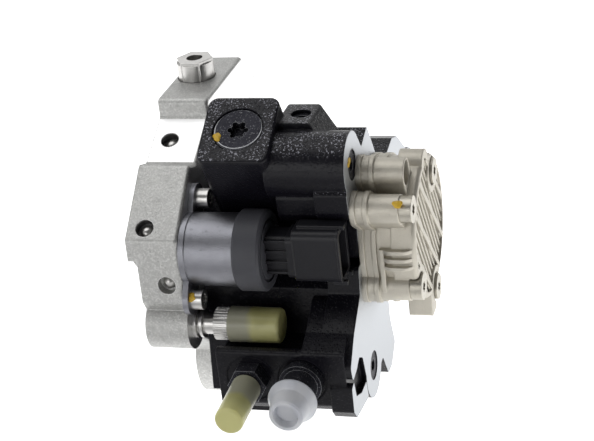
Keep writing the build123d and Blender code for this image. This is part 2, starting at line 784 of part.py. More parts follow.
meter_seal_from = flange_thick - meter_groove_from + (meter_groove_width - meter_seal_width) / 2
with BuildPart() as metering_seal:
    with BuildSketch(across(meter_seal_from)):
        with Locations(meter_at):
            Circle(meter_nose_r)
            Circle(meter_nose_r - meter_seal_section, mode=Mode.SUBTRACT)
    extrude(amount=meter_seal_width)
metering_seal.part.label = "metering_seal"
export_step(metering_seal.part, "parts/metering_seal.step")

with BuildPart() as metering_coil:
    with BuildSketch(across(coil_from)):
        with Locations(meter_at):
            Circle(coil_r)
            Circle(tube_r, mode=Mode.SUBTRACT)
    extrude(amount=coil_to - coil_from)
metering_coil.part.label = "metering_coil"
export_step(metering_coil.part, "parts/metering_coil.step")

with BuildPart() as metering_spool:
    with BuildSketch(across(spool_from)):
        with Locations(meter_at):
            Circle(spool_r)
    extrude(amount=spool_length)
    with BuildSketch(across(spool_from + spool_land)):
        with Locations(meter_at):
            Circle(spool_r)
            Circle(spool_r - spool_groove, mode=Mode.SUBTRACT)
    extrude(amount=spool_groove_width, mode=Mode.SUBTRACT)
    with BuildSketch(across(spool_from + spool_length)):
        with Locations(meter_at):
            Circle(armature_r)
    extrude(amount=armature_length)
metering_spool.part.label = "metering_spool"
export_step(metering_spool.part, "parts/metering_spool.step")

with BuildPart() as metering_cap:
    with BuildSketch(across(meter_body_end)):
        with Locations(meter_at):
            Circle(meter_cap_r)
    extrude(amount=meter_cap_end - meter_body_end)
    chamfer(metering_cap.edges().filter_by(GeomType.CIRCLE), cap_bevel)
    with BuildSketch(across(meter_cap_end)):
        with Locations(meter_at):
            Circle(cap_groove_r)
            Circle(cap_groove_r - cap_groove_width, mode=Mode.SUBTRACT)
    extrude(amount=-cap_groove_depth, mode=Mode.SUBTRACT)
metering_cap.part.label = "metering_cap"
export_step(metering_cap.part, "parts/metering_cap.step")

# two-pin connector moulded on the cap: ribbed neck, shroud with an open mouth, latch rail and two hooks
plug_end = 104.0
plug_width = 17.0
plug_height = 27.0
plug_wall = 2.0
mouth_depth = 14.0
shroud_from = 81.0
rail_overhang = 2.0
neck_width = 13.0
neck_height = 20.0
neck_ribs = 4
neck_rib_pitch = 5.5
neck_rib = 1.3
neck_rib_width = 15.4
lip_thick = 1.2
lip_rise = 0.5
rail_width = 7.0
rail_rise = 1.6
hook_reach = 5.0          # from the connector's middle
hook_width = 2.4
hook_drop = 1.4
hook_length = 7.0
pin_pitch = 10.0
pin_thick = 0.8
pin_width = 2.8
pin_length = 8.0
with BuildPart() as metering_connector:
    with BuildSketch(across(meter_cap_end)):
        with Locations(meter_at):
            RectangleRounded(neck_width, neck_height, 3)
    extrude(amount=shroud_from - meter_cap_end)
    with BuildSketch(across(meter_cap_end)):
        with Locations(meter_at):
            with GridLocations(1, neck_rib_pitch, 1, neck_ribs):
                Rectangle(neck_rib_width, neck_rib)
    extrude(amount=shroud_from - meter_cap_end - 2)
    with BuildSketch(across(shroud_from)):
        with Locations(meter_at):
            RectangleRounded(plug_width, plug_height, 4)
    extrude(amount=plug_end - shroud_from)
    with BuildSketch(across(plug_end - lip_thick)):
        with Locations(meter_at):
            RectangleRounded(plug_width + 2 * lip_rise, plug_height + 2 * lip_rise - 0.2, 4.4)
    extrude(amount=lip_thick)
    with BuildSketch(across(shroud_from - 3)):
        with Locations(meter_at):
            RectangleRounded(plug_width + 2 * lip_rise, plug_height - 5, 3)
    extrude(amount=3.5)
    with BuildSketch(across(shroud_from + 2)):
        with Locations((meter_y, meter_z + plug_height / 2 + rail_rise - 1)):
            Rectangle(rail_width, 2)
    extrude(amount=plug_end + rail_overhang - shroud_from - 2)
    with BuildSketch(across(plug_end + rail_overhang - hook_length)):
        with Locations((meter_y, meter_z - plug_height / 2 - hook_drop + 1)):
            with GridLocations(2 * hook_reach, 1, 2, 1):
                Rectangle(hook_width, 2)
    extrude(amount=hook_length)
    with BuildSketch(across(plug_end)):
        with Locations(meter_at):
            RectangleRounded(plug_width - 2 * plug_wall, plug_height - 2 * plug_wall, 2.5)
    extrude(amount=-mouth_depth, mode=Mode.SUBTRACT)
metering_connector.part.label = "metering_connector"
export_step(metering_connector.part, "parts/metering_connector.step")

with BuildPart() as connector_pins:
    with BuildSketch(across(plug_end - mouth_depth)):
        with Locations(meter_at):
            with GridLocations(1, pin_pitch, 1, 2):
                Rectangle(pin_thick, pin_width)
    extrude(amount=pin_length)
connector_pins.part.label = "connector_pins"
export_step(connector_pins.part, "parts/connector_pins.step")

with BuildPart() as metering_screws:
    with BuildSketch(across(flange_thick + meter_ear_thick)):
        with Locations(*meter_screws):
            Circle(cap_head_r)
    extrude(amount=cap_head_height)
    with BuildSketch(across(flange_thick - meter_screw_grip)):
        with Locations(*meter_screws):
            Circle(m6_r)
    extrude(amount=meter_screw_grip + meter_ear_thick)
    for at in meter_screws:
        with BuildSketch(across(flange_thick + meter_ear_thick + cap_head_height)):
            with Locations(at):
                lobed_socket(lobe_width)
        extrude(amount=-socket_depth, mode=Mode.SUBTRACT)
metering_screws.part.label = "metering_screws"
export_step(metering_screws.part, "parts/metering_screws.step")

# ---- overflow piston, held down by its spring
piston_length = 9.0
piston_floor = 3.0
piston_wall = 1.0
piston_bottom = overflow_base - overflow_shank + 2
overflow_spring_r = 1.7
overflow_spring_wire = 0.8
overflow_spring_turns = 6
with BuildPart() as overflow_piston:
    with BuildSketch(Plane.XY.offset(piston_bottom)):
        with Locations((overflow_x, overflow_y)):
            Circle(piston_r)
    extrude(amount=piston_length)
    with BuildSketch(Plane.XY.offset(piston_bottom + piston_floor)):
        with Locations((overflow_x, overflow_y)):
            Circle(piston_r - piston_wall)
    extrude(amount=piston_length, mode=Mode.SUBTRACT)
overflow_piston.part.label = "overflow_piston"
export_step(overflow_piston.part, "parts/overflow_piston.step")

overflow_spring = coil_spring(Plane(origin=(overflow_x, overflow_y, piston_bottom + piston_floor)),
                              overflow_spring_r, overflow_spring_wire, overflow_spring_turns,
                              overflow_base - overflow_wall - piston_bottom - piston_floor)
overflow_spring.label = "overflow_spring"
export_step(overflow_spring, "parts/overflow_spring.step")

armature_end = spool_from + spool_length + armature_length
spring_seat = Plane(origin=(armature_end, meter_y, meter_z), x_dir=(0, 1, 0), z_dir=(1, 0, 0))
metering_spring = coil_spring(spring_seat, meter_spring_r, meter_spring_wire, meter_spring_turns,
                              meter_body_end - armature_end)
metering_spring.label = "metering_spring"
export_step(metering_spring, "parts/metering_spring.step")

# ---- return fitting with its knurled nut and transport cap
return_at = (return_y, return_z)
return_nut_from = flange_thick + return_neck_length
return_cap_from = return_nut_from + return_nut_length
stub_r = 6.0
stub_from = return_neck_length + return_nut_length
stub_length = 10.0
stub_groove = 0.4
stub_bore_r = 2.8
return_flange_r = 7.6
return_neck_r = 5.6
return_ring_r = 7.2
return_nut_bore_r = 5.4
return_flange_to = 2.2    # along the fitting from the flange face
return_ring_from = 3.6
return_ring_to = 5.2
stub_groove_width = 2.0
stub_tip_length = 1.5
stub_tip_depth = 1.2
with BuildPart() as return_fitting:
    with BuildSketch(Plane(origin=(flange_thick, return_y, return_z), x_dir=(1, 0, 0), z_dir=(0, -1, 0))):
        with BuildLine():
            Polyline((-return_thread_length, 0), (-return_thread_length, return_thread_r),
                     (0, return_thread_r), (0, return_flange_r),
                     (return_flange_to, return_flange_r), (return_flange_to, return_neck_r),
                     (return_ring_from, return_neck_r), (return_ring_from, return_ring_r),
                     (return_ring_to, return_ring_r), (return_ring_to, return_nut_bore_r),
                     (stub_from, return_nut_bore_r), (stub_from, stub_r - stub_groove),
                     (stub_from + stub_groove_width, stub_r - stub_groove),
                     (stub_from + stub_groove_width, stub_r),
                     (stub_from + stub_length - stub_tip_length, stub_r),
                     (stub_from + stub_length, stub_r - stub_tip_depth),
                     (stub_from + stub_length, 0), close=True)
        make_face()
    revolve(axis=Axis((0, return_y, return_z), (1, 0, 0)))
    with BuildSketch(across(return_cap_from + stub_length)):
        with Locations(return_at):
            Circle(stub_bore_r)
    extrude(amount=-stub_from - stub_length - 8, mode=Mode.SUBTRACT)
return_fitting.part.label = "return_fitting"
export_step(return_fitting.part, "parts/return_fitting.step")

knurl_count = 28
knurl_depth = 0.45
with BuildPart() as return_nut:
    with BuildSketch(across(return_nut_from)):
        with Locations(return_at):
            Circle(return_nut_r - knurl_depth)
            with PolarLocations(return_nut_r - 0.5, knurl_count):
                Rectangle(1.0, 2 * knurl_depth)
            Circle(return_nut_bore_r, mode=Mode.SUBTRACT)
    extrude(amount=return_nut_length)
return_nut.part.label = "return_nut"
export_step(return_nut.part, "parts/return_nut.step")

with BuildPart() as return_cap:
    with BuildSketch(across(return_cap_from + cap_gap)):
        with Locations(return_at):
            Circle(return_cap_r)
    extrude(amount=return_cap_length, taper=cap_taper)
    fillet(return_cap.edges().group_by(Axis.X)[-1], cap_round)
    with BuildSketch(across(return_cap_from + cap_gap)):
        with Locations(return_at):
            Circle(return_cap_r - cap_wall - 0.3)
    extrude(amount=return_cap_length - 2 * cap_wall, mode=Mode.SUBTRACT)
return_cap.part.label = "return_cap"
export_step(return_cap.part, "parts/return_cap.step")

# ---- outlet stub and inlet port on the connection block
outlet_length = 16.0
outlet_af = 17.0
outlet_bore_r = 2.0
outlet_cap_from = 9.0
outlet_cap_length = 30.0
outlet_cap_r = 7.2
with BuildPart() as outlet_stub:
    with BuildSketch(facing_front(outlet_x, port_face_y + port_depth, port_z)):
        Circle(outlet_thread_r)
    extrude(amount=port_depth + outlet_cap_from + outlet_length)
    with BuildSketch(facing_front(outlet_x, port_face_y + port_spotface, port_z)):
        RegularPolygon(outlet_af / 2, 6, major_radius=False)
    extrude(amount=port_spotface + outlet_cap_from - 2)
    with BuildSketch(facing_front(outlet_x, port_face_y + port_depth, port_z)):
        Circle(outlet_bore_r)
    extrude(amount=2 * (port_depth + outlet_length), mode=Mode.SUBTRACT)
outlet_stub.part.label = "outlet_stub"
export_step(outlet_stub.part, "parts/outlet_stub.step")

with BuildPart() as outlet_cap:
    with BuildSketch(facing_front(outlet_x, port_face_y - outlet_cap_from + 1, port_z)):
        Circle(outlet_cap_r)
    extrude(amount=outlet_cap_length, taper=cap_taper)
    fillet(outlet_cap.edges().group_by(Axis.Y)[0], cap_round)
    with BuildSketch(facing_front(outlet_x, port_face_y - outlet_cap_from + 1, port_z)):
        Circle(outlet_cap_r - cap_wall)
    extrude(amount=outlet_cap_length - cap_wall - 1, mode=Mode.SUBTRACT)
outlet_cap.part.label = "outlet_cap"
export_step(outlet_cap.part, "parts/outlet_cap.step")

inlet_neck_r = 8.6
inlet_neck_length = 17.0
inlet_collar_r = 10.6
inlet_collar = 4.0
inlet_bore_r = 4.5
with BuildPart() as inlet_port:
    with BuildSketch(facing_front(inlet_x, port_face_y + port_depth, port_z)):
        Circle(inlet_thread_r)
    extrude(amount=port_depth)
    with BuildSketch(facing_front(inlet_x, port_face_y + port_spotface, port_z)):
        Circle(inlet_collar_r)
    extrude(amount=port_spotface + inlet_collar)
    with BuildSketch(facing_front(inlet_x, port_face_y - inlet_collar, port_z)):
        Circle(inlet_neck_r)
    extrude(amount=inlet_neck_length - inlet_collar)
    with BuildSketch(facing_front(inlet_x, port_face_y + port_depth, port_z)):
        Circle(inlet_bore_r)
    extrude(amount=2 * (port_depth + inlet_neck_length), mode=Mode.SUBTRACT)
inlet_port.part.label = "inlet_port"
export_step(inlet_port.part, "parts/inlet_port.step")

inlet_cap_from = inlet_neck_length + 0.6
inlet_rim_r = 12.0
inlet_crown_r = 7.4
inlet_cap_length = 13.6
inlet_cap_floor = 9.0
inlet_cap_plug_r = inlet_bore_r - 0.3
with BuildPart() as inlet_cap:
    with BuildSketch(Plane(origin=(inlet_x, port_face_y - inlet_cap_from, port_z), x_dir=(1, 0, 0))):
        with BuildLine():
            Polyline((0, -cap_wall), (inlet_rim_r - 3, -cap_wall), (inlet_rim_r, 0), (inlet_rim_r, -1.0),
                     (inlet_crown_r + 2.2, -5), (inlet_crown_r + 0.8, -13),
                     (inlet_crown_r, -inlet_cap_length),
                     (inlet_crown_r - cap_wall, -inlet_cap_length), (5.6, -inlet_cap_floor),
                     (0, -inlet_cap_floor), close=True)
        make_face()
    revolve(axis=Axis((inlet_x, 0, port_z), (0, 1, 0)))
    with BuildSketch(facing_front(inlet_x, port_face_y - inlet_cap_from + inlet_cap_floor, port_z)):
        Circle(inlet_cap_plug_r)
    extrude(amount=inlet_cap_floor + cap_wall + 0.3)
inlet_cap.part.label = "inlet_cap"
export_step(inlet_cap.part, "parts/inlet_cap.step")

# ---- closing plugs in the housing
with BuildPart() as rear_plugs:
    with BuildSketch(across(housing_end - rear_plug_sunk)):
        with Locations(*rear_boss_at):
            Circle(rear_plug_r)
    extrude(amount=-rear_plug_length)
    with BuildSketch(across(housing_end - rear_plug_sunk)):
        with Locations(*rear_boss_at):
            RegularPolygon(rear_plug_socket, 6, major_radius=False)
    extrude(amount=-socket_depth - 1, mode=Mode.SUBTRACT)
rear_plugs.part.label = "rear_plugs"
export_step(rear_plugs.part, "parts/rear_plugs.step")

with BuildPart() as gallery_plug:
    with BuildSketch(Plane.XY.offset(gallery_top - gallery_plug_sunk)):
        with Locations(gallery_plug_at):
            Circle(gallery_plug_r)
    extrude(amount=-gallery_plug_length)
    with BuildSketch(Plane.XY.offset(gallery_top - gallery_plug_sunk)):
        with Locations(gallery_plug_at):
            RegularPolygon(m6_socket, 6, major_radius=False)
    extrude(amount=-socket_depth, mode=Mode.SUBTRACT)
gallery_plug.part.label = "gallery_plug"
export_step(gallery_plug.part, "parts/gallery_plug.step")

# ---- feed pump: base, plate, cover and a pair of meshing gears
base_to = housing_end + base_thick
plate_to = base_to + plate_thick
end_gap = 0.06            # gears to cover, endways, split evenly
cover_bearing = 4.0
chamber_to = plate_to + gear_width + end_gap
shaft_bore_r = 7.0
idler_r = 4.0
coupling_to = housing_end - 1


def feed_outline(shrink=0.0):
    """Outline shared by the feed pump's base, plate and cover, inside the current sketch."""
    with Locations((feed_y, feed_z)):
        Circle(feed_r - shrink)
    for y, z in feed_bosses:
        reach = hypot(y - feed_y, z - feed_z)
        turn = degrees(atan2(z - feed_z, y - feed_y))
        with Locations((y, z)):
            Circle(feed_boss_r - shrink)
        with Locations(((y + feed_y) / 2, (z + feed_z) / 2)):
            Rectangle(reach, 2 * (feed_boss_r - shrink), rotation=turn)


def gear_outline(phase):
    """Involute gear outline about the current origin, one tooth's centre at the phase angle."""
    pitch_r = gear_module * gear_teeth / 2
    base_r = pitch_r * cos(radians(pressure_angle))
    roll = sqrt((pitch_r / base_r) ** 2 - 1)
    flank_turn = degrees(roll) - degrees(atan2(roll, 1))
    half_tooth = 360 / gear_teeth / 4 - 0.35 + flank_turn
    tip_roll = sqrt((gear_tip_r / base_r) ** 2 - 1)
    points = []
    for step in range(5):
        t = tip_roll * step / 4
        r = base_r * sqrt(1 + t * t)
        points.append((r, degrees(t) - degrees(atan2(t, 1))))
    for tooth in range(gear_teeth):
        middle = phase + tooth * 360 / gear_teeth
        right = [polar(r, middle - half_tooth + turn) for r, turn in points]
        left = [polar(r, middle + half_tooth - turn) for r, turn in reversed(points)]
        following = polar(gear_root_r, middle + 360 / gear_teeth - half_tooth)
        Line(polar(gear_root_r, middle - half_tooth), right[0])
        Spline(*right)
        Line(right[-1], left[0])
        Spline(*left)
        Line(left[-1], polar(gear_root_r, middle + half_tooth))
        Line(polar(gear_root_r, middle + half_tooth), following)


with BuildPart() as feed_base:
    with BuildSketch(across(housing_end)):
        feed_outline()
        Circle(shaft_bore_r + 2, mode=Mode.SUBTRACT)
        with Locations((driven_y, driven_z)):
            Circle(shaft_bore_r, mode=Mode.SUBTRACT)
        with Locations(*feed_bosses):
            Circle(feed_screw_r, mode=Mode.SUBTRACT)
    extrude(amount=base_thick)
feed_base.part.label = "feed_base"
export_step(feed_base.part, "parts/feed_base.step")

with BuildPart() as feed_plate:
    with BuildSketch(across(base_to)):
        feed_outline(0.5)
        Circle(shaft_bore_r + running_gap, mode=Mode.SUBTRACT)
        with Locations((driven_y, driven_z)):
            Circle(shaft_bore_r, mode=Mode.SUBTRACT)
        with Locations(*feed_bosses):
            Circle(feed_screw_r, mode=Mode.SUBTRACT)
    extrude(amount=plate_thick)
feed_plate.part.label = "feed_plate"
export_step(feed_plate.part, "parts/feed_plate.step")

cover_foot = 2.4
cover_inset = 1.4
end_plate_from = 124.0
rim_width = 3.2
scallop_r = feed_head_r + 1
lattice_depth = 2.4
lattice_turn = -58.0
fine_rib = 1.3
fine_pitch = 4.0
main_rib = 2.4
main_pitch = 17.0
cooling_rib = 1.9
cooling_pitch = 4.4
cooling_z = 5.6
cooling_count = 3
cooling_proud = 2.5       # beyond the cover's round wall
cooling_height = 15.0
cooling_corner = 6.5
rib_to = cover_end - 0.5
lug_at = (-10.0, 45.0)
lug_r = 7.5
lug_hole_r = 3.0
tab_y = -15.0
tab_size = (11.0, 18.0)
tab_corner = 1.5
sunk_bore_r = 6.2
sunk_depth = 12.0
rib_from = plate_to + cover_foot + 1.5
strip_width = 2.2
strip_proud = 0.9
with BuildPart() as feed_cover:
    with BuildSketch(across(plate_to)):
        feed_outline()
    extrude(amount=cover_foot)
    with BuildSketch(across(plate_to + cover_foot)):
        feed_outline(cover_inset)
    extrude(amount=feed_boss_end - plate_to - cover_foot)
    with BuildSketch(across(end_plate_from)):
        with Locations((feed_y, feed_z)):
            Circle(feed_r)
    extrude(amount=cover_end - end_plate_from)
    fillet(feed_cover.faces().sort_by(Axis.X)[-1].edges(), 2.2)
    with BuildSketch(across(end_plate_from)):
        with Locations(lug_at):
            Circle(lug_r)
        with Locations((tab_y, feed_z - feed_r - 1)):
            RectangleRounded(*tab_size, tab_corner)
    extrude(amount=cover_end - end_plate_from)
    with BuildSketch(across(cover_end)):
        with Locations(lug_at):
            Circle(lug_hole_r)
    extrude(amount=end_plate_from + 2 - cover_end, mode=Mode.SUBTRACT)
    # three cooling ribs that wrap round the corner onto the end face
    for number in range(cooling_count):
        with BuildSketch(Plane.XY.offset(cooling_z + number * cooling_pitch)):
            with Locations(((rib_from + rib_to) / 2, feed_y - feed_r - cooling_proud + cooling_height / 2)):
                RectangleRounded(rib_to - rib_from, cooling_height, cooling_corner)
        extrude(amount=cooling_rib)
    # upright strip that joins the ribs' ends
    strip_low = feed_bosses[2][1]
    with BuildSketch(Plane.XY.offset(strip_low)):
        with Locations((rib_from + strip_width / 2, feed_y - feed_r - strip_proud + cooling_height / 2)):
            Rectangle(strip_width, cooling_height)
    extrude(amount=cooling_z + (cooling_count - 1) * cooling_pitch + cooling_rib - strip_low)
    # screw heads stand in scallops of the end plate
    with BuildSketch(across(feed_boss_end)):
        with Locations(*feed_bosses):
            Circle(scallop_r)
    extrude(amount=cover_end - feed_boss_end, mode=Mode.SUBTRACT)
    # end face: rim, fine ribs and main ribs over a sunken floor
    with BuildSketch(across(cover_end)):
        with Locations((feed_y, feed_z)):
            Circle(feed_r - rim_width)
        for y, z in feed_bosses:
            with Locations((y, z)):
                Circle(scallop_r + rim_width, mode=Mode.SUBTRACT)
    extrude(amount=-lattice_depth, mode=Mode.SUBTRACT)
    with BuildSketch(across(cover_end - lattice_depth)):
        with Locations(Location((feed_y, feed_z, 0), (0, 0, lattice_turn))):
            with GridLocations(1, fine_pitch, 1, 17):
                Rectangle(2 * feed_r, fine_rib)
        with Locations((feed_y, feed_z)):
            Circle(feed_r - rim_width / 2, mode=Mode.INTERSECT)
        for y, z in feed_bosses:
            with Locations((y, z)):
                Circle(scallop_r + 1, mode=Mode.SUBTRACT)
    extrude(amount=lattice_depth - 0.9)
    with BuildSketch(across(cover_end - lattice_depth)):
        with Locations(Location((feed_y, feed_z, 0), (0, 0, lattice_turn + 9))):
            with GridLocations(1, main_pitch, 1, 4):
                Rectangle(2 * feed_r, main_rib)
        with Locations((feed_y, feed_z)):
            Circle(feed_r - rim_width / 2, mode=Mode.INTERSECT)
        for y, z in feed_bosses:
            with Locations((y, z)):
                Circle(scallop_r + 1, mode=Mode.SUBTRACT)
    extrude(amount=lattice_depth)
    # gear chamber, bearing bores and screw holes
    with BuildSketch(across(plate_to)):
        Circle(gear_tip_r + bore_gap)
        with Locations((driven_y, driven_z)):
            Circle(gear_tip_r + bore_gap)
    extrude(amount=gear_width + end_gap, mode=Mode.SUBTRACT)
    with BuildSketch(across(chamber_to)):
        Circle(shaft_bore_r + running_gap)
        with Locations((driven_y, driven_z)):
            Circle(shaft_bore_r)
    extrude(amount=cover_bearing, mode=Mode.SUBTRACT)
    with BuildSketch(across(plate_to)):
        with Locations(*feed_bosses):
            Circle(feed_screw_r)
    extrude(amount=feed_boss_end - plate_to, mode=Mode.SUBTRACT)
    with BuildSketch(across(feed_boss_end)):
        with Locations(feed_bosses[0]):
            Circle(sunk_bore_r)
    extrude(amount=-sunk_depth, mode=Mode.SUBTRACT)
feed_cover.part.label = "feed_cover"
export_step(feed_cover.part, "parts/feed_cover.step")

with BuildPart() as driver_gear:
    with BuildSketch(across(plate_to + end_gap / 2)):
        with BuildLine():
            gear_outline(gear_line_angle)
        make_face()
    extrude(amount=gear_width)
    with BuildSketch(across(coupling_to)):
        Circle(shaft_bore_r)
    extrude(amount=chamber_to + cover_bearing - 0.5 - coupling_to)
    with BuildSketch(across(coupling_to - tang_length)):
        Rectangle(2 * shaft_bore_r, tang_width)
        Circle(shaft_bore_r, mode=Mode.INTERSECT)
    extrude(amount=tang_length)
driver_gear.part.label = "driver_gear"
export_step(driver_gear.part, "parts/driver_gear.step")

with BuildPart() as driven_gear:
    driven_centre = (plate_to + end_gap / 2, driven_y, driven_z)
    with BuildSketch(Plane(origin=driven_centre, x_dir=(0, 1, 0), z_dir=(1, 0, 0))):
        with BuildLine():
            gear_outline(gear_line_angle + 180 + 180 / gear_teeth)
        make_face()
        Circle(idler_r + running_gap, mode=Mode.SUBTRACT)
    extrude(amount=gear_width)
driven_gear.part.label = "driven_gear"
export_step(driven_gear.part, "parts/driven_gear.step")

with BuildPart() as idler_pin:
    with BuildSketch(across(housing_end)):
        with Locations((driven_y, driven_z)):
            Circle(shaft_bore_r)
    extrude(amount=base_thick + plate_thick)
    with BuildSketch(across(plate_to)):
        with Locations((driven_y, driven_z)):
            Circle(idler_r)
    extrude(amount=gear_width + end_gap)
    with BuildSketch(across(chamber_to)):
        with Locations((driven_y, driven_z)):
            Circle(shaft_bore_r)
    extrude(amount=cover_bearing)
idler_pin.part.label = "idler_pin"
export_step(idler_pin.part, "parts/idler_pin.step")

with BuildPart() as coupling:
    with BuildSketch(across(shaft_end)):
        Circle(rear_journal_r + 1)
    extrude(amount=coupling_to - shaft_end)
    with BuildSketch(across(shaft_end)):
        Rectangle(tang_width, 3 * rear_journal_r)
    extrude(amount=tang_length, mode=Mode.SUBTRACT)
    with BuildSketch(across(coupling_to - tang_length)):
        Rectangle(3 * rear_journal_r, tang_width)
    extrude(amount=tang_length, mode=Mode.SUBTRACT)
coupling.part.label = "coupling"
export_step(coupling.part, "parts/coupling.step")

with BuildPart() as feed_screws:
    for at in feed_bosses:
        sunk = at == feed_bosses[0]
        seat = feed_boss_end - sunk_depth if sunk else feed_boss_end
        with BuildSketch(across(seat)):
            with Locations(at):
                Circle(cap_head_r if sunk else feed_head_r)
        extrude(amount=feed_head_height)
        with BuildSketch(across(housing_end - feed_screw_depth)):
            with Locations(at):
                Circle(feed_screw_r)
        extrude(amount=seat - housing_end + feed_screw_depth)
        with BuildSketch(across(seat + feed_head_height)):
            with Locations(at):
                lobed_socket(lobe_width)
        extrude(amount=-socket_depth, mode=Mode.SUBTRACT)
feed_screws.part.label = "feed_screws"
export_step(feed_screws.part, "parts/feed_screws.step")
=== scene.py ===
import json
import bpy
import numpy as np
from mathutils import Matrix, Vector


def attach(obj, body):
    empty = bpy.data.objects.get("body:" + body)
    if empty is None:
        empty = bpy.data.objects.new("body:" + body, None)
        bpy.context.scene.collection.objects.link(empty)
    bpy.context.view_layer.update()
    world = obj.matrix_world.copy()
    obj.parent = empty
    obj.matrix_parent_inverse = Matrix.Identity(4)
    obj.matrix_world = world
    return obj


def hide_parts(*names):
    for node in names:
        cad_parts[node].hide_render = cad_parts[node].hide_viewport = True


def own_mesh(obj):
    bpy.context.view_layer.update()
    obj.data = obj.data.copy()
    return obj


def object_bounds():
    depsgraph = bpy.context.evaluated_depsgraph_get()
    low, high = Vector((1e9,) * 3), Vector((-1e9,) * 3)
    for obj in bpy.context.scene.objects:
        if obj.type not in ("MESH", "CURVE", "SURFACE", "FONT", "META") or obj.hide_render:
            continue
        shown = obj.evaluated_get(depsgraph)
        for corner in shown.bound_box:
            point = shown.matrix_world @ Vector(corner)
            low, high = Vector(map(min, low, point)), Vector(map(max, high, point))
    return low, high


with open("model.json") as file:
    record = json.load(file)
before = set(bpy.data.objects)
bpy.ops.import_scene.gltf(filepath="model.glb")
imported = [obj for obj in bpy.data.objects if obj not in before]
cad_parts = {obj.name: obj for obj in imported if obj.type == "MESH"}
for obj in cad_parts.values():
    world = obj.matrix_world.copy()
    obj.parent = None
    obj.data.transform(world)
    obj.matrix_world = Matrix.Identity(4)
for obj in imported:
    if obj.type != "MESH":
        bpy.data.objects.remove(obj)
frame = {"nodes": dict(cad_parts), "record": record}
cadLow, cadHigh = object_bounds()
nodes = frame["nodes"]
mounts = {mount["name"]: mount["dims"] for mount in frame["record"]["mounts"]}
print("frame loaded,", len(nodes), "nodes")


def boxOf(name):  # low and high corner of a CAD node at rest
    corners = np.array(nodes[name].bound_box)
    return corners.min(axis=0), corners.max(axis=0)


housingLow, housingHigh = boxOf("pump_housing")
shaftLow = boxOf("drive_shaft")[0]

view = {  # where the camera stands and its three directions, in metres; lens and sensor in millimetres
    "place": (0.2924, -0.7117, 0.3664),
    "right": (0.96114, 0.25319, -0.11001),
    "up": (-0.0151, 0.44615, 0.89483),
    "forward": (-0.27564, 0.85840, -0.43263),
    "lens": 96.97,
    "sensor": 36,
}
camera = bpy.data.objects.new("camera", bpy.data.cameras.new("camera"))
camera.data.lens = view["lens"]
camera.data.sensor_width = view["sensor"]
axes = [Vector(view["right"]), Vector(view["up"]), -Vector(view["forward"])]
camera.matrix_world = Matrix.Translation(view["place"]) @ Matrix(axes).transposed().to_4x4()
bpy.context.scene.collection.objects.link(camera)
bpy.context.scene.camera = camera
bpy.context.scene.view_settings.view_transform = "Standard"

lamps = {  # soft boxes; size is width and height in metres
    "overhead": {"place": (-0.30, 0.05, 1.20), "target": (0.05, 0.0, 0.0), "size": (1.2, 1.1), "watts": 7.0},
    "behind": {"place": (-0.2, 1.6, 0.85), "target": (0.0, 0.0, 0.05), "size": (2.4, 1.0), "watts": 8.0},
    "leftSide": {"place": (-1.3, -0.55, 0.50), "target": (0.0, 0.0, 0.0), "size": (0.5, 0.8), "watts": 2.6},
    "frontFill": {"place": (-0.5, -1.5, 0.45), "target": (0.03, 0.0, 0.0), "size": (1.0, 0.6), "watts": 4.5},
}
for name, box in lamps.items():
    lamp = bpy.data.lights.new(name, "AREA")
    lamp.shape, lamp.energy = "RECTANGLE", box["watts"]
    lamp.size, lamp.size_y = box["size"]
    holder = bpy.data.objects.new(name, lamp)
    holder.location = box["place"]
    holder.rotation_mode = "QUATERNION"
    holder.rotation_quaternion = (Vector(box["target"]) - Vector(box["place"])).to_track_quat("-Z", "Y")
    bpy.context.scene.collection.objects.link(holder)

studio = {"tint": (1.0, 1.0, 1.0, 1.0), "strength": 0.10}
world = bpy.data.worlds.new("studio")
bpy.context.scene.world = world
world.use_nodes = True
world.node_tree.nodes["Background"].inputs["Color"].default_value = studio["tint"]
world.node_tree.nodes["Background"].inputs["Strength"].default_value = studio["strength"]
print("camera and lights made")


class Sock:  # a node's output that takes part in sums
    def __init__(self, graph, out):
        self.graph, self.out = graph, out

    def math(self, operation, *others):
        return self.graph.node("ShaderNodeMath", {"operation": operation}, dict(enumerate((self, *others))))

    def __add__(self, other):
        return self.math("ADD", other)

    def __radd__(self, other):
        return self.math("ADD", other)

    def __sub__(self, other):
        return self.math("SUBTRACT", other)

    def __rsub__(self, other):
        return self.graph.node("ShaderNodeMath", {"operation": "SUBTRACT"}, {0: other, 1: self})

    def __mul__(self, other):
        return self.math("MULTIPLY", other)

    def __rmul__(self, other):
        return self.math("MULTIPLY", other)

    def __truediv__(self, other):
        return self.math("DIVIDE", other)

    def __rtruediv__(self, other):
        return self.graph.node("ShaderNodeMath", {"operation": "DIVIDE"}, {0: other, 1: self})

    def ramp(self, low, high):  # 0 below low, 1 above high, smooth between
        return self.graph.node("ShaderNodeMapRange", {"interpolation_type": "SMOOTHSTEP"},
                               {"Value": self, "From Min": low, "From Max": high})

    def band(self, middle, half):  # 1 at middle, 0 from half away
        return 1.0 - (self - middle).math("ABSOLUTE").ramp(half * 0.4, half)

    def waves(self, pace):  # rises and falls along the value, pace in radians per unit
        return (self * pace).math("SINE")

    def clamp(self):  # held between 0 and 1
        return self.math("MAXIMUM", 0.0).math("MINIMUM", 1.0)


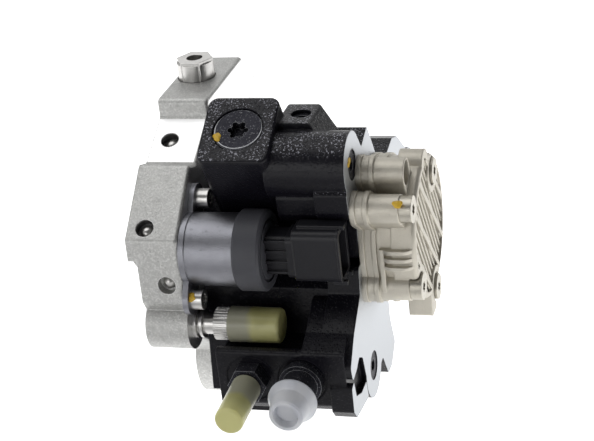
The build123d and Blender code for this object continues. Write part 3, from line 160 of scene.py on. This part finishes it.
class Graph:  # one material and its nodes; lengths are in metres
    def __init__(self, name):
        self.material = bpy.data.materials.new(name)
        self.material.use_nodes = True
        self.tree = self.material.node_tree
        self.shader = self.tree.nodes["Principled BSDF"]
        self.place = self.node("ShaderNodeTexCoord", {}, {}, "Object")
        self.facing = self.node("ShaderNodeNewGeometry", {}, {}, "Normal")

    def node(self, kind, settings, inputs, output=0):
        made = self.tree.nodes.new(kind)
        for key, value in settings.items():
            setattr(made, key, value)
        for key, value in inputs.items():
            if isinstance(value, Sock):
                self.tree.links.new(value.out, made.inputs[key])
            else:
                made.inputs[key].default_value = value
        return Sock(self, made.outputs[output])

    def feed(self, **inputs):  # varying values into the shader
        for key, value in inputs.items():
            self.tree.links.new(value.out, self.shader.inputs[key.replace("_", " ")])

    def fixed(self, **inputs):  # constants on the shader's own sockets
        for key, value in inputs.items():
            self.shader.inputs[key.replace("_", " ")].default_value = value

    def vector(self, operation, first, second, output=0):
        return self.node("ShaderNodeVectorMath", {"operation": operation}, {0: first, 1: second}, output)

    def axis(self, letter, source=None):
        return self.node("ShaderNodeSeparateXYZ", {}, {0: source or self.place}, letter)

    def noise(self, size, detail=3.0, stretch=(1, 1, 1)):  # clouds, size is that of one lump
        spread = self.vector("MULTIPLY", self.place, stretch)
        return self.node("ShaderNodeTexNoise", {}, {"Vector": spread, "Scale": 1 / size, "Detail": detail})

    def patches(self, size, detail, low, high):  # 1 in patches, 0 between them
        return self.noise(size, detail).ramp(low, high)

    def dots(self, size, core, rim):  # 1 at scattered points, 0 from rim away
        cells = self.node("ShaderNodeTexVoronoi", {}, {"Vector": self.place, "Scale": 1 / size}, "Distance")
        return 1.0 - cells.ramp(core, rim)

    def mix(self, amount, first, second):
        return self.node("ShaderNodeMix", {"data_type": "RGBA"}, {0: amount, 6: first, 7: second}, 2)

    def turned(self, centre, along):  # distance from an axis through centre
        arm = self.vector("SUBTRACT", self.place, centre)
        return self.vector("LENGTH", self.vector("CROSS_PRODUCT", arm, along), (0, 0, 0), "Value")

    def above(self, point, normal):  # height over a plane through point
        return self.vector("DOT_PRODUCT", self.vector("SUBTRACT", self.place, point), normal, "Value")

    def toward(self, normal, low, high):  # 1 where the surface faces along normal
        return self.vector("DOT_PRODUCT", self.facing, normal, "Value").ramp(low, high)

    def softened(self, radius):  # normal rounded over sharp edges
        return self.node("ShaderNodeBevel", {"samples": 6}, {"Radius": radius})

    def edge(self, radius):  # 1 along sharp edges, 0 on flat ground
        flat = self.vector("DOT_PRODUCT", self.softened(radius), self.facing, "Value")
        return (1.0 - flat).ramp(0.02, 0.22)

    def bump(self, height, strength, depth, radius=0.0004):
        return self.node("ShaderNodeBump", {}, {"Strength": strength, "Distance": depth, "Height": height,
                                                "Normal": self.softened(radius)})

    def scratches(self, size, stretch, share):  # thin broken lines over a share of the surface
        line = self.noise(size, 2.0, stretch)
        gate = self.noise(size * 9, 1.0).ramp(1 - share, 1 - share + 0.06)
        return line.band(0.5, 0.012) * gate


def colour(tint, share=1.0, lift=0.0):  # a tint darkened, lightened or lifted, as a shader takes it
    return (*(min(1.0, share * part + lift) for part in tint), 1.0)


# In every look a patch is its lump size, its detail and the values where it starts and is full, dots are
# their spacing, core and rim, a pace is in radians per metre, and a share says how much of a mark shows.
def castAluminium():  # grained casting with bare machined faces, painted highlights along its edges and painted shade inside the drillings
    look = {
        "dark": (0.40, 0.40, 0.39), "light": (0.60, 0.60, 0.585), "bare": (0.82, 0.82, 0.82),
        "scratchesAndEdgeHighlight": (0.92, 0.92, 0.91), "cloud": 0.012, "grain": 0.0010, "fineGrain": 0.0004, "edge": 0.0009,
        "stain": (0.004, 6.0, 0.54, 0.72), "pits": (0.0021, 0.06, 0.16),
        "scratch": (0.006, (0.6, 1.0, 0.15), 0.40),  # size, stretch and the part of the surface
        "speckShare": 0.6, "stainShare": 0.30, "pitShare": 0.35, "edgeShare": 0.75, "scratchShare": 0.35,
        "shadeShare": 0.75, "roughness": 0.40, "relief": 0.55, "depth": 0.0004, "softEdge": 0.0007,
        "frontX": 0.0004, "rearX": housingLow[0] - 0.0002,  # the two machined ends
        "facet": (0.0, -0.438, 0.899), "facetHeight": 0.06459, "facetHalf": 0.0004,
        "drillings": (((0.009, -0.0202, 0.0620), (0.0, -0.438, 0.899)),  # mouth and direction
                      ((0.009, -0.0696, 0.0373), (0.0, -0.614, 0.789))),
        "drillingRadius": 0.0047, "shadeFrom": -0.0003, "shadeFull": -0.0016,
        "mouthRadius": 0.00456, "skin": 0.0003,
        "lathePace": 15000.0, "latheDepth": 0.05, "axis": (1, 0, 0), "centre": (0.0, 0.0, 0.0),
    }
    mat = Graph("castAluminium")
    middleX, halfX = 0.5 * (look["frontX"] + look["rearX"]), 0.5 * (look["rearX"] - look["frontX"])
    x = mat.axis("X")
    flatX = mat.axis("X", mat.facing).math("ABSOLUTE").ramp(0.97, 0.99)
    ends = flatX * (1.0 - x.band(middleX, halfX))
    level = mat.vector("DOT_PRODUCT", mat.place, look["facet"], "Value").band(look["facetHeight"], look["facetHalf"])
    machined = (ends + mat.toward(look["facet"], 0.990, 0.998) * level).clamp()
    cloud = mat.noise(look["cloud"], 4.0)
    speck = mat.noise(look["grain"], 5.0)
    stain = mat.patches(*look["stain"])
    pits = mat.dots(*look["pits"])
    scratch = mat.scratches(*look["scratch"])
    shade, mouth = 0.0, 0.0
    # painted shade inside each drilling, darker with depth below its mouth
    for centre, along in look["drillings"]:
        radius, rise = mat.turned(centre, along), mat.above(centre, along)
        inside = 1.0 - radius.ramp(look["drillingRadius"], look["drillingRadius"] + 0.0002)
        shade = shade + inside * (1.0 - rise.ramp(look["shadeFull"], look["shadeFrom"]))
        covered = rise.math("GREATER_THAN", -look["skin"])  # thin metal over a mouth, shown open
        mouth = mouth + radius.math("LESS_THAN", look["mouthRadius"]) * covered
    edge = mat.edge(look["edge"])
    cast = mat.mix(cloud, colour(look["dark"]), colour(look["light"]))
    cast = mat.mix(speck.ramp(0.40, 0.70) * look["speckShare"], cast, colour(look["light"], 1.25))
    cast = mat.mix(stain * look["stainShare"], cast, colour(look["dark"], 0.75))
    cast = mat.mix(pits * look["pitShare"], cast, colour(look["dark"], 0.5))
    base = mat.mix(machined, cast, colour(look["bare"]))
    # scratches are real wear; the lighter edges are a painted highlight
    scratchesAndEdgeHighlight = (edge * look["edgeShare"] + scratch * look["scratchShare"]).clamp()
    base = mat.mix(scratchesAndEdgeHighlight, base, colour(look["scratchesAndEdgeHighlight"]))
    # painted shade: the drillings darken towards their bottoms
    base = mat.mix(shade * look["shadeShare"], base, colour(look["dark"], 0.25))
    lathe = mat.turned(look["centre"], look["axis"]).waves(look["lathePace"]) * ends * look["latheDepth"]
    grain = speck + mat.noise(look["fineGrain"], 3.0) * 0.4 - pits * 0.8
    height = grain * (1.0 - machined) + lathe - scratch * 0.5
    roughness = look["roughness"] + 0.16 * cloud + 0.10 * speck - 0.16 * machined - 0.10 * edge
    mat.feed(Base_Color=base, Roughness=roughness, Alpha=1.0 - mouth.clamp(),
             Normal=mat.bump(height, look["relief"], look["depth"], look["softEdge"]))
    mat.fixed(Metallic=1.0)
    return mat


def blackPaint():  # thin paint over a casting, bare where its rear face is machined
    look = {
        "paint": (0.0042, 0.0040, 0.0062), "edgeAndTopHighlight": (0.045, 0.045, 0.055), "bare": (0.51, 0.53, 0.555),
        "glint": (0.42, 0.42, 0.48), "grain": 0.00085, "peel": 0.005, "edge": 0.0009, "grit": (0.0014, 0.10, 0.42),
        "rough": (0.011, 2.0, 0.42, 0.60), "paintedGlint": (0.0009, 2.0, 0.56, 0.66), "sparkle": (0.009, 2.0, 0.38, 0.58),
        "edgeShare": 0.55, "gritShare": 0.5, "sparkShare": 0.9, "roughness": 0.24, "coat": 0.08,
        "relief": 0.5, "depth": 0.0005, "softEdge": 0.0012,
        "top": (0.0, -0.35, 0.94), "sparkFrom": 0.030, "sparkFull": 0.040,  # heights of the sparkling tops
        "rearX": housingHigh[0] - 0.00015, "ringPace": 9000.0, "ringDepth": 0.04,
        "axis": (1, 0, 0), "centre": (0.108, 0.0, 0.0),
    }
    mat = Graph("blackPaint")
    flatX = mat.axis("X", mat.facing).ramp(0.985, 0.995)
    bare = flatX * mat.axis("X").ramp(look["rearX"], look["rearX"] + 0.0001)
    upward = mat.toward(look["top"], 0.80, 0.95)
    speck = mat.noise(look["grain"], 4.0)
    peel = mat.noise(look["peel"], 2.0)
    grit = mat.dots(*look["grit"])
    rough = mat.patches(*look["rough"])
    # painted glints on the upward faces high on the housing
    paintedGlint = mat.patches(*look["paintedGlint"]) * mat.patches(*look["sparkle"])
    paintedGlint = paintedGlint * upward * mat.axis("Z").ramp(look["sparkFrom"], look["sparkFull"])
    edge = mat.edge(look["edge"])
    base = mat.mix(peel, colour(look["paint"]), colour(look["paint"], 1.9))
    # painted highlight: lighter along the edges and on the grit of the upward faces
    edgeAndTopHighlight = edge * look["edgeShare"] + upward * grit * rough * look["gritShare"]
    base = mat.mix(edgeAndTopHighlight.clamp(), base, colour(look["edgeAndTopHighlight"]))
    base = mat.mix(paintedGlint * look["sparkShare"], base, colour(look["glint"]))
    base = mat.mix(bare, base, colour(look["bare"]))
    rings = mat.turned(look["centre"], look["axis"]).waves(look["ringPace"]) * bare * look["ringDepth"]
    height = (speck * 0.6 + peel + grit * (0.5 + upward * 1.6)) * (1.0 - bare) + rings
    roughness = look["roughness"] + 0.10 * speck + 0.05 * upward + 0.14 * bare
    mat.feed(Base_Color=base, Metallic=bare, Roughness=roughness, Coat_Weight=(1.0 - bare) * look["coat"],
             Normal=mat.bump(height, look["relief"], look["depth"], look["softEdge"]))
    mat.fixed(Specular_IOR_Level=0.18, Coat_Roughness=0.16)
    return mat


def steel(name, tint, roughness, streak=(1, 1, 1), grain=0.0009, relief=0.25):  # streak stretches the grain
    look = {"cloud": 0.006, "rust": (0.0025, 6.0, 0.60, 0.75), "rustShare": 0.25, "edge": 0.0005, "edgeShare": 0.6,
            "depth": 0.0002}
    mat = Graph(name)
    cloud = mat.noise(look["cloud"], 4.0)
    fine = mat.noise(grain, 4.0, streak)
    rust = mat.patches(*look["rust"])
    base = mat.mix(cloud, colour(tint, 0.72), colour(tint))
    base = mat.mix(rust * look["rustShare"], base, colour(tint, 0.45))
    # painted highlight along the edges
    base = mat.mix(mat.edge(look["edge"]) * look["edgeShare"], base, colour(tint, 1.25, 0.05))
    mat.feed(Base_Color=base, Roughness=roughness + 0.14 * fine + 0.08 * rust,
             Normal=mat.bump(fine, relief, look["depth"]))
    mat.fixed(Metallic=1.0)
    return mat


def plugSteel():  # dark screw plugs; the upper one has turned rings and a painted highlight on its rim, and all have painted highlights on their edges and light grain flecks
    look = {
        "tint": (0.026, 0.026, 0.034), "rim": (0.60, 0.61, 0.63), "grain": 0.0008, "cloud": 0.004,
        "centre": (0.0546, -0.0443, 0.0784), "along": (0.0, -0.5, 0.866), "reach": 0.0125,
        "rimRadius": 0.01165, "rimHalf": 0.0003, "ringPace": 11000.0, "ringDepth": 0.12,
        "edge": 0.0005, "edgeShare": 0.55, "rimShare": 0.8, "speckShare": 0.30, "roughness": 0.40,
        "relief": 0.6, "depth": 0.0003,
    }
    mat = Graph("plugSteel")
    radius = mat.turned(look["centre"], look["along"])
    away = mat.vector("DISTANCE", mat.place, look["centre"], "Value")
    there = 1.0 - away.ramp(look["reach"], look["reach"] + 0.001)
    rim = radius.band(look["rimRadius"], look["rimHalf"]) * there
    speck = mat.noise(look["grain"], 5.0)
    # painted highlight on the edges and the rim ring, with light grain flecks
    bright = mat.edge(look["edge"]) * look["edgeShare"] + rim * look["rimShare"]
    bright = bright + speck.ramp(0.58, 0.68) * look["speckShare"]
    base = mat.mix(mat.noise(look["cloud"], 3.0), colour(look["tint"], 0.6), colour(look["tint"], 1.5))
    base = mat.mix(bright.clamp(), base, colour(look["rim"]))
    rings = radius.waves(look["ringPace"]) * there * look["ringDepth"]
    mat.feed(Base_Color=base, Roughness=look["roughness"] + 0.2 * speck,
             Normal=mat.bump(speck + rings, look["relief"], look["depth"]))
    mat.fixed(Metallic=0.7, Specular_IOR_Level=0.3)
    return mat


def plastic(name, tint, roughness, grain=0.0008, strength=0.25):  # moulded, with a faint painted highlight along its edges
    look = {"cloud": 0.008, "edge": 0.0006, "edgeShare": 0.35, "depth": 0.0002}
    mat = Graph(name)
    fine = mat.noise(grain, 3.0)
    base = mat.mix(mat.noise(look["cloud"], 3.0), colour(tint, 0.8), colour(tint))
    # painted highlight along the edges
    base = mat.mix(mat.edge(look["edge"]) * look["edgeShare"], base, colour(tint, 1.0, 0.10))
    mat.feed(Base_Color=base, Roughness=roughness + 0.15 * fine,
             Normal=mat.bump(fine, strength, look["depth"], look["edge"]))
    mat.fixed(Metallic=0.0, Specular_IOR_Level=0.3)
    return mat


def capPlastic(name, tint, deep, haze, clearness, stub, mouth, letter, sign, inside, tip=None):
    # mouth is the place of the open end and sign the way from there to the closed one; the fitting
    # shows through up to the first depth of inside and is gone at the second, and a tip gets a painted highlight
    look = {"wobble": 0.004, "wobbleSize": 0.006, "cloud": 0.009, "stretch": (1.0, 0.6, 1.0), "stubShare": 0.7}
    mat = Graph(name)
    along = mat.axis(letter)
    wavy = along + mat.noise(look["wobbleSize"], 1.0) * look["wobble"]
    cover = 1.0 - wavy.ramp(*sorted(mouth + sign * depth for depth in inside))
    if sign < 0:
        cover = 1.0 - cover
    cloud = mat.noise(look["cloud"], 1.0, look["stretch"])
    base = mat.mix(cloud.ramp(0.30, 0.70), colour(deep), colour(tint))
    base = mat.mix(cover * look["stubShare"], base, colour(stub))
    if tip:
        # painted highlight: the cap lightens towards its tip
        nearTip = (along - (mouth + sign * tip[0])) / (sign * (tip[1] - tip[0]))
        base = mat.mix(nearTip.ramp(0.0, 1.0), base, colour(tint, 1.3))
    mat.feed(Base_Color=base, Roughness=haze + 0.10 * cloud)
    mat.fixed(Transmission_Weight=clearness, IOR=1.45)
    return mat


def pumpAlloy():  # warm die casting of the feed pump
    look = {"light": (0.66, 0.625, 0.545), "deep": (0.50, 0.47, 0.405), "cloud": 0.009, "grain": 0.0009,
            "grit": (0.0005, 3.0, 0.62, 0.72), "gritShare": 0.35, "edge": 0.0009, "edgeShare": 0.6,
            "roughness": 0.40, "relief": 0.4, "depth": 0.0003}
    mat = Graph("pumpAlloy")
    cloud = mat.noise(look["cloud"], 5.0)
    speck = mat.noise(look["grain"], 4.0)
    base = mat.mix(cloud, colour(look["deep"]), colour(look["light"]))
    base = mat.mix(mat.patches(*look["grit"]) * look["gritShare"], base, colour(look["deep"], 0.55))
    # painted highlight along the edges
    base = mat.mix(mat.edge(look["edge"]) * look["edgeShare"], base, colour(look["light"], 1.18))
    mat.feed(Base_Color=base, Roughness=look["roughness"] + 0.16 * speck,
             Normal=mat.bump(speck + cloud * 0.6, look["relief"], look["depth"], look["edge"]))
    mat.fixed(Metallic=0.65)
    return mat


def rubber():
    look = {"deep": (0.012, 0.012, 0.012), "light": (0.03, 0.03, 0.03), "grain": 0.0007, "roughness": 0.55,
            "relief": 0.3, "depth": 0.0002}
    mat = Graph("sealRubber")
    fine = mat.noise(look["grain"], 3.0)
    mat.feed(Base_Color=mat.mix(fine, colour(look["deep"]), colour(look["light"])),
             Roughness=look["roughness"] + 0.2 * fine, Normal=mat.bump(fine, look["relief"], look["depth"]))
    return mat


def markerPaint():  # the yellow of the inspection dabs
    look = {"deep": (0.55, 0.33, 0.02), "bright": (0.72, 0.47, 0.035), "streak": 0.0011, "roughness": 0.38,
            "relief": 0.4, "depth": 0.0002}
    mat = Graph("dabPaint")
    streak = mat.noise(look["streak"], 3.0)
    mat.feed(Base_Color=mat.mix(streak, colour(look["deep"]), colour(look["bright"])),
             Roughness=look["roughness"] + 0.2 * streak, Normal=mat.bump(streak, look["relief"], look["depth"]))
    return mat


amber = {"tint": (0.66, 0.64, 0.30), "deep": (0.50, 0.48, 0.20), "haze": 0.26, "clearness": 0.35,
         "stub": (0.42, 0.42, 0.39)}
milky = {"tint": (0.86, 0.87, 0.90), "deep": (0.70, 0.72, 0.78), "haze": 0.28, "clearness": 0.30,
         "stub": (0.60, 0.62, 0.68)}
finishes = {  # by material slot
    "cast_aluminium": castAluminium(),
    "black_housing": blackPaint(),
    "bright_steel": steel("brightSteel", (0.66, 0.65, 0.63), 0.24),
    "black_plug": plugSteel(),
    "meter_steel": steel("meterSteel", (0.33, 0.333, 0.365), 0.33, grain=0.0006, relief=0.7),
    "bearing_bronze": steel("bearingBronze", (0.60, 0.42, 0.22), 0.30),
    "copper_coil": steel("copperCoil", (0.55, 0.25, 0.12), 0.35, streak=(6, 1, 1)),
    "pin_brass": steel("pinBrass", (0.78, 0.66, 0.38), 0.25),
    "feed_alloy": pumpAlloy(),
    "seal_rubber": rubber(),
    "grey_plastic": plastic("greyPlastic", (0.070, 0.071, 0.082), 0.42, grain=0.0006, strength=0.4),
    "black_plastic": plastic("blackPlastic", (0.016, 0.016, 0.020), 0.30),
    "amber_cap": capPlastic("amberCap", **amber, mouth=boxOf("return_cap")[0][0], letter="X", sign=1,
                            inside=(0.0108, 0.0148)),
    "milky_cap": capPlastic("milkyCap", **milky, mouth=boxOf("inlet_cap")[1][1], letter="Y", sign=-1,
                            inside=(0.0049, 0.0089)),
}
finishByNode = {  # pieces that differ from the rest of their slot
    "outlet_cap": capPlastic("amberCapOutlet", **amber, mouth=boxOf("outlet_cap")[1][1], letter="Y", sign=-1,
                             inside=(0.0115, 0.0155), tip=(0.0195, 0.029)),
    "feed_screws": steel("screwSteel", (0.56, 0.53, 0.46), 0.32),
}
dabFinish = markerPaint()
for entry in frame["record"]["subparts"]:
    finish = finishByNode.get(entry["node"], finishes[entry["material_slot"]])
    for place in nodes[entry["node"]].material_slots:
        place.material = finish.material
print("materials made,", len(finishes) + len(finishByNode) + 1)


def closedSurface(name, grid, looped, finish):
    # each ring of the grid joins the next by four-sided faces; the last ring joins the first
    # where looped, and otherwise a fan round the middle of each end ring closes the surface
    rings, around = grid.shape[:2]
    index = np.arange(rings * around).reshape(rings, around)
    lower, upper = (index, np.roll(index, -1, axis=0)) if looped else (index[:-1], index[1:])
    lowerNext, upperNext = np.roll(lower, -1, axis=1), np.roll(upper, -1, axis=1)
    quads = np.stack([lower, lowerNext, upperNext, upper], axis=-1).reshape(-1, 4)
    points = grid.reshape(-1, 3)
    faces = quads.tolist()
    if not looped:
        points = np.vstack([points, grid[0].mean(axis=0), grid[-1].mean(axis=0)])
        first, last = index[0], index[-1]
        tip, tail = np.full(around, rings * around), np.full(around, rings * around + 1)
        faces += np.stack([tip, np.roll(first, -1), first], axis=-1).tolist()
        faces += np.stack([tail, last, np.roll(last, -1)], axis=-1).tolist()
    corners = points[quads]
    across = np.cross(corners[:, 2] - corners[:, 0], corners[:, 3] - corners[:, 1])
    outward = ((corners.mean(axis=1) - points.mean(axis=0)) * across).sum()
    if outward < 0:
        faces = [face[::-1] for face in faces]
    mesh = bpy.data.meshes.new(name)
    mesh.from_pydata(points.tolist(), [], faces)
    mesh.polygons.foreach_set("use_smooth", np.ones(len(mesh.polygons), dtype=bool))
    mesh.update()
    mesh.materials.append(finish.material)
    made = bpy.data.objects.new(name, mesh)
    bpy.context.scene.collection.objects.link(made)
    return made


def squareTo(axis, spare):  # two directions square to an axis; spare serves an axis that lies along X
    side = np.cross(axis, (1.0, 0.0, 0.0) if abs(axis[0]) < 0.9 else spare)
    side /= np.linalg.norm(side)
    return side, np.cross(axis, side)


dab = {"rings": 22, "around": 48, "poleGap": 0.02, "waves": ((2, 0.14), (3, 0.10), (5, 0.06)),  # count and size
       "fullness": 0.7, "ridges": 7, "ridgeHeight": 0.12, "ridgeTo": 0.4, "seed": 7}
spots = {  # curve is one over the carrier's radius, 0 on a flat face
    "paint_dab_plug": {"centre": (0.0449, -0.0489, 0.0762), "normal": (0.0, -0.5, 0.866), "radius": 0.0023,
                       "height": 0.0007, "skirt": 0.0005, "stretch": 0.95, "curve": 0.0},
    "paint_dab_rear": {"centre": (0.1080, -0.0473, 0.0627), "normal": (1.0, 0.0, 0.0), "radius": 0.0020,
                       "height": 0.0004, "skirt": 0.0006, "stretch": 1.5, "curve": 0.0},
    "paint_dab_feed": {"centre": (0.1313, -0.0549, 0.0447), "normal": (0.0, -0.743, 0.669), "radius": 0.0022,
                       "height": 0.0007, "skirt": 0.0009, "stretch": 1.0, "curve": 1 / 0.0086},
    "paint_dab_meter": {"centre": (0.0300, -0.0763, 0.0036), "normal": (0.0, -0.777, 0.629), "radius": 0.0022,
                        "height": 0.0006, "skirt": 0.0008, "stretch": 1.1, "curve": 1 / 0.005},
}


def paintDab(name, spot, phases):
    # the outline is a circle with three waves of random phase, the height is a dome that falls
    # to a thin skirt under the surface, and the whole bends round the carrier's radius
    down, turn = np.meshgrid(np.linspace(dab["poleGap"], 1 - dab["poleGap"], dab["rings"]),
                             np.linspace(0, 2 * np.pi, dab["around"], endpoint=False), indexing="ij")
    waves = sum(size * np.cos(count * turn + phase) for (count, size), phase in zip(dab["waves"], phases))
    reach = spot["radius"] * (1 + waves) * np.sin(np.pi * down) ** dab["fullness"]
    rise = np.where(down < 0.5, spot["height"], spot["skirt"]) * np.cos(np.pi * down)
    stroke = np.cos(dab["ridges"] * reach / spot["radius"] * np.cos(turn + phases[0]))
    ridge = dab["ridgeHeight"] * spot["height"] * stroke * (down < dab["ridgeTo"])
    normal = np.array(spot["normal"]) / np.linalg.norm(spot["normal"])
    side, other = squareTo(normal, (0.0, 1.0, 0.0))
    along, across = reach * np.cos(turn) * spot["stretch"], reach * np.sin(turn)
    sag = across ** 2 * spot["curve"] / 2
    grid = np.array(spot["centre"]) + across[..., None] * side + along[..., None] * other
    grid = grid + (rise + ridge - sag)[..., None] * normal
    made = closedSurface(name, grid, False, dabFinish)
    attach(made, "pump_body")


chance = np.random.default_rng(dab["seed"])
for name, spot in spots.items():
    paintDab(name, spot, chance.uniform(0, 2 * np.pi, 3))
print("paint dabs made,", len(spots))

thread = {  # clearance lifts the root off the nose, wall is how far the hidden side lies inside it
    "fromEnd": 0.0008, "pitch": 0.0015, "clearance": 0.00002, "depth": 0.00023, "wall": 0.0008,
    "runout": 0.0012, "around": 96, "stations": 150,
}


def noseThread():
    # the radius goes up and down evenly once per pitch, and the whole pattern slides one pitch per turn;
    # both ends fade to the root, and the sheet returns along a smaller radius inside the shaft
    nose = mounts["shaft_nose_thread"]
    start = shaftLow[0] + thread["fromEnd"]
    stop = start + nose["length_mm"] / 1000
    run, turn = np.meshgrid(np.linspace(start, stop, thread["stations"]),
                            np.linspace(0, 2 * np.pi, thread["around"], endpoint=False), indexing="ij")
    phase = (run / thread["pitch"] - turn / (2 * np.pi)) % 1.0
    fade = np.clip(np.minimum(run - start, stop - run) / thread["runout"], 0.0, 1.0)
    core = nose["r_mm"] / 1000
    radius = core + thread["clearance"] + thread["depth"] * (1 - np.abs(2 * phase - 1)) * fade
    run = np.vstack([run, run[::-1][[0, -1]]])
    turn = np.vstack([turn, turn[:2]])
    radius = np.vstack([radius, np.full((2, thread["around"]), core - thread["wall"])])
    grid = np.stack([run, radius * np.cos(turn), radius * np.sin(turn)], axis=-1)
    made = closedSurface("nose_thread", grid, True, finishes["bright_steel"])
    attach(made, "drive_shaft_body")


noseThread()
print("thread made")

coil = {"gap": 0.00004, "stationsPerTurn": 36, "around": 14, "flatTurns": 0.7, "easeTurns": 0.5}
# the foot is the end at the moving piece, the top the fixed end, travel is the range of the joint
plungerSpring = {"x": 0.0545, "footReach": 0.0338, "topReach": 0.0560, "radius": 0.0092, "wire": 0.0024,
                 "turns": 5.0, "travel": 0.007, "angles": (120.0, 240.0, 0.0)}
meteringSpring = {"foot": (0.0475, -0.0585, 0.021), "top": (0.0535, -0.0585, 0.021), "radius": 0.0045,
                  "wire": 0.0009, "turns": 2.6, "travel": 0.003}
overflowSpring = {"foot": (0.0106, 0.0264, 0.0578), "top": (0.0106, 0.0264, 0.0748), "radius": 0.0017,
                  "wire": 0.0008, "turns": 7.5, "travel": 0.0025}


def coilSpring(name, foot, top, spring):
    # a round wire follows a circle while it climbs from the foot to the top; the climb per
    # turn is one wire at both ends and eases to an even open pitch between, so the end turns lie flat
    foot, top = np.array(foot), np.array(top)
    length = np.linalg.norm(top - foot)
    axis = (top - foot) / length
    side, other = squareTo(axis, (0.0, 0.0, 1.0))
    wire, start = spring["wire"], spring["wire"] / 2 + coil["gap"]
    turns = np.linspace(0, spring["turns"], int(spring["turns"] * coil["stationsPerTurn"]) + 1)
    fromEnd = np.minimum(turns, spring["turns"] - turns)
    opened = np.clip((fromEnd - coil["flatTurns"]) / coil["easeTurns"], 0.0, 1.0)
    climb = np.concatenate([[0.0], np.cumsum((opened[1:] + opened[:-1]) / 2)])
    room = length - 2 * coil["gap"] - wire
    height = wire * turns + max(room - wire * spring["turns"], 0.0) * climb / climb[-1]
    height = start + height * room / height[-1]
    ray = np.cos(2 * np.pi * turns)[:, None] * side + np.sin(2 * np.pi * turns)[:, None] * other
    path = foot + spring["radius"] * ray + height[:, None] * axis
    heading = np.gradient(path, axis=0)
    heading /= np.linalg.norm(heading, axis=1, keepdims=True)
    upright = np.cross(heading, ray)
    turn = np.linspace(0, 2 * np.pi, coil["around"], endpoint=False)
    section = np.cos(turn)[:, None] * ray[:, None] + np.sin(turn)[:, None] * upright[:, None]
    made = closedSurface(name + "_coil", path[:, None] + wire / 2 * section, False, finishes["bright_steel"])
    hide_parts(name)
    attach(made, "pump_body")
    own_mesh(made)


for number, angle in enumerate(plungerSpring["angles"], start=1):
    away = np.array((0.0, np.cos(np.radians(angle)), np.sin(np.radians(angle))))
    middle = np.array((plungerSpring["x"], 0.0, 0.0))
    coilSpring(f"plunger_spring_{number}", middle + plungerSpring["footReach"] * away,
               middle + plungerSpring["topReach"] * away, plungerSpring)
coilSpring("metering_spring", meteringSpring["foot"], meteringSpring["top"], meteringSpring)
coilSpring("overflow_spring", overflowSpring["foot"], overflowSpring["top"], overflowSpring)
print("springs made,", len(plungerSpring["angles"]) + 2)

floor = {
    "half": 4.0, "gap": 0.0005, "glow": 1.12, "roughness": 0.9,
    "shadeCentre": (-0.07, -0.36), "shadeReach": (0.30, 0.26), "shadeInner": 0.55, "shadeOuter": 1.40,
    "glowNear": (0.10, 0.10, 0.10), "glowFar": (1.0, 1.0, 1.0),
    "paperNear": (0.60, 0.60, 0.61), "paperFar": (0.88, 0.88, 0.88), "fleck": (0.80, 0.80, 0.80), "fleckSize": 0.3,
}


def paperFinish():  # paper that glows, apart from an oval painted shade, darker in glow and in tone, that the bright metal mirrors
    mat = Graph("paper")
    spreadX, spreadY = [(mat.axis(letter) - centre) / reach
                        for letter, centre, reach in zip("XY", floor["shadeCentre"], floor["shadeReach"])]
    fromShade = (spreadX * spreadX + spreadY * spreadY).math("SQRT")
    # painted shade on the floor in front of the pump
    away = fromShade.ramp(floor["shadeInner"], floor["shadeOuter"])
    tone = mat.mix(away, colour(floor["paperNear"]), colour(floor["paperFar"]))
    tone = mat.mix(mat.noise(floor["fleckSize"], 2.0) * 0.1, tone, colour(floor["fleck"]))
    mat.feed(Base_Color=tone, Emission_Color=mat.mix(away, colour(floor["glowNear"]), colour(floor["glowFar"])))
    mat.fixed(Roughness=floor["roughness"], Emission_Strength=floor["glow"])
    return mat


half, level = floor["half"], cadLow.z - floor["gap"]
sheet = bpy.data.meshes.new("floor")
sheet.from_pydata([(-half, -half, level), (half, -half, level), (half, half, level), (-half, half, level)], [],
                  [(0, 1, 2, 3)])
sheet.materials.append(paperFinish().material)
ground = bpy.data.objects.new("floor", sheet)
bpy.context.scene.collection.objects.link(ground)
print("floor made")

print("scene made")
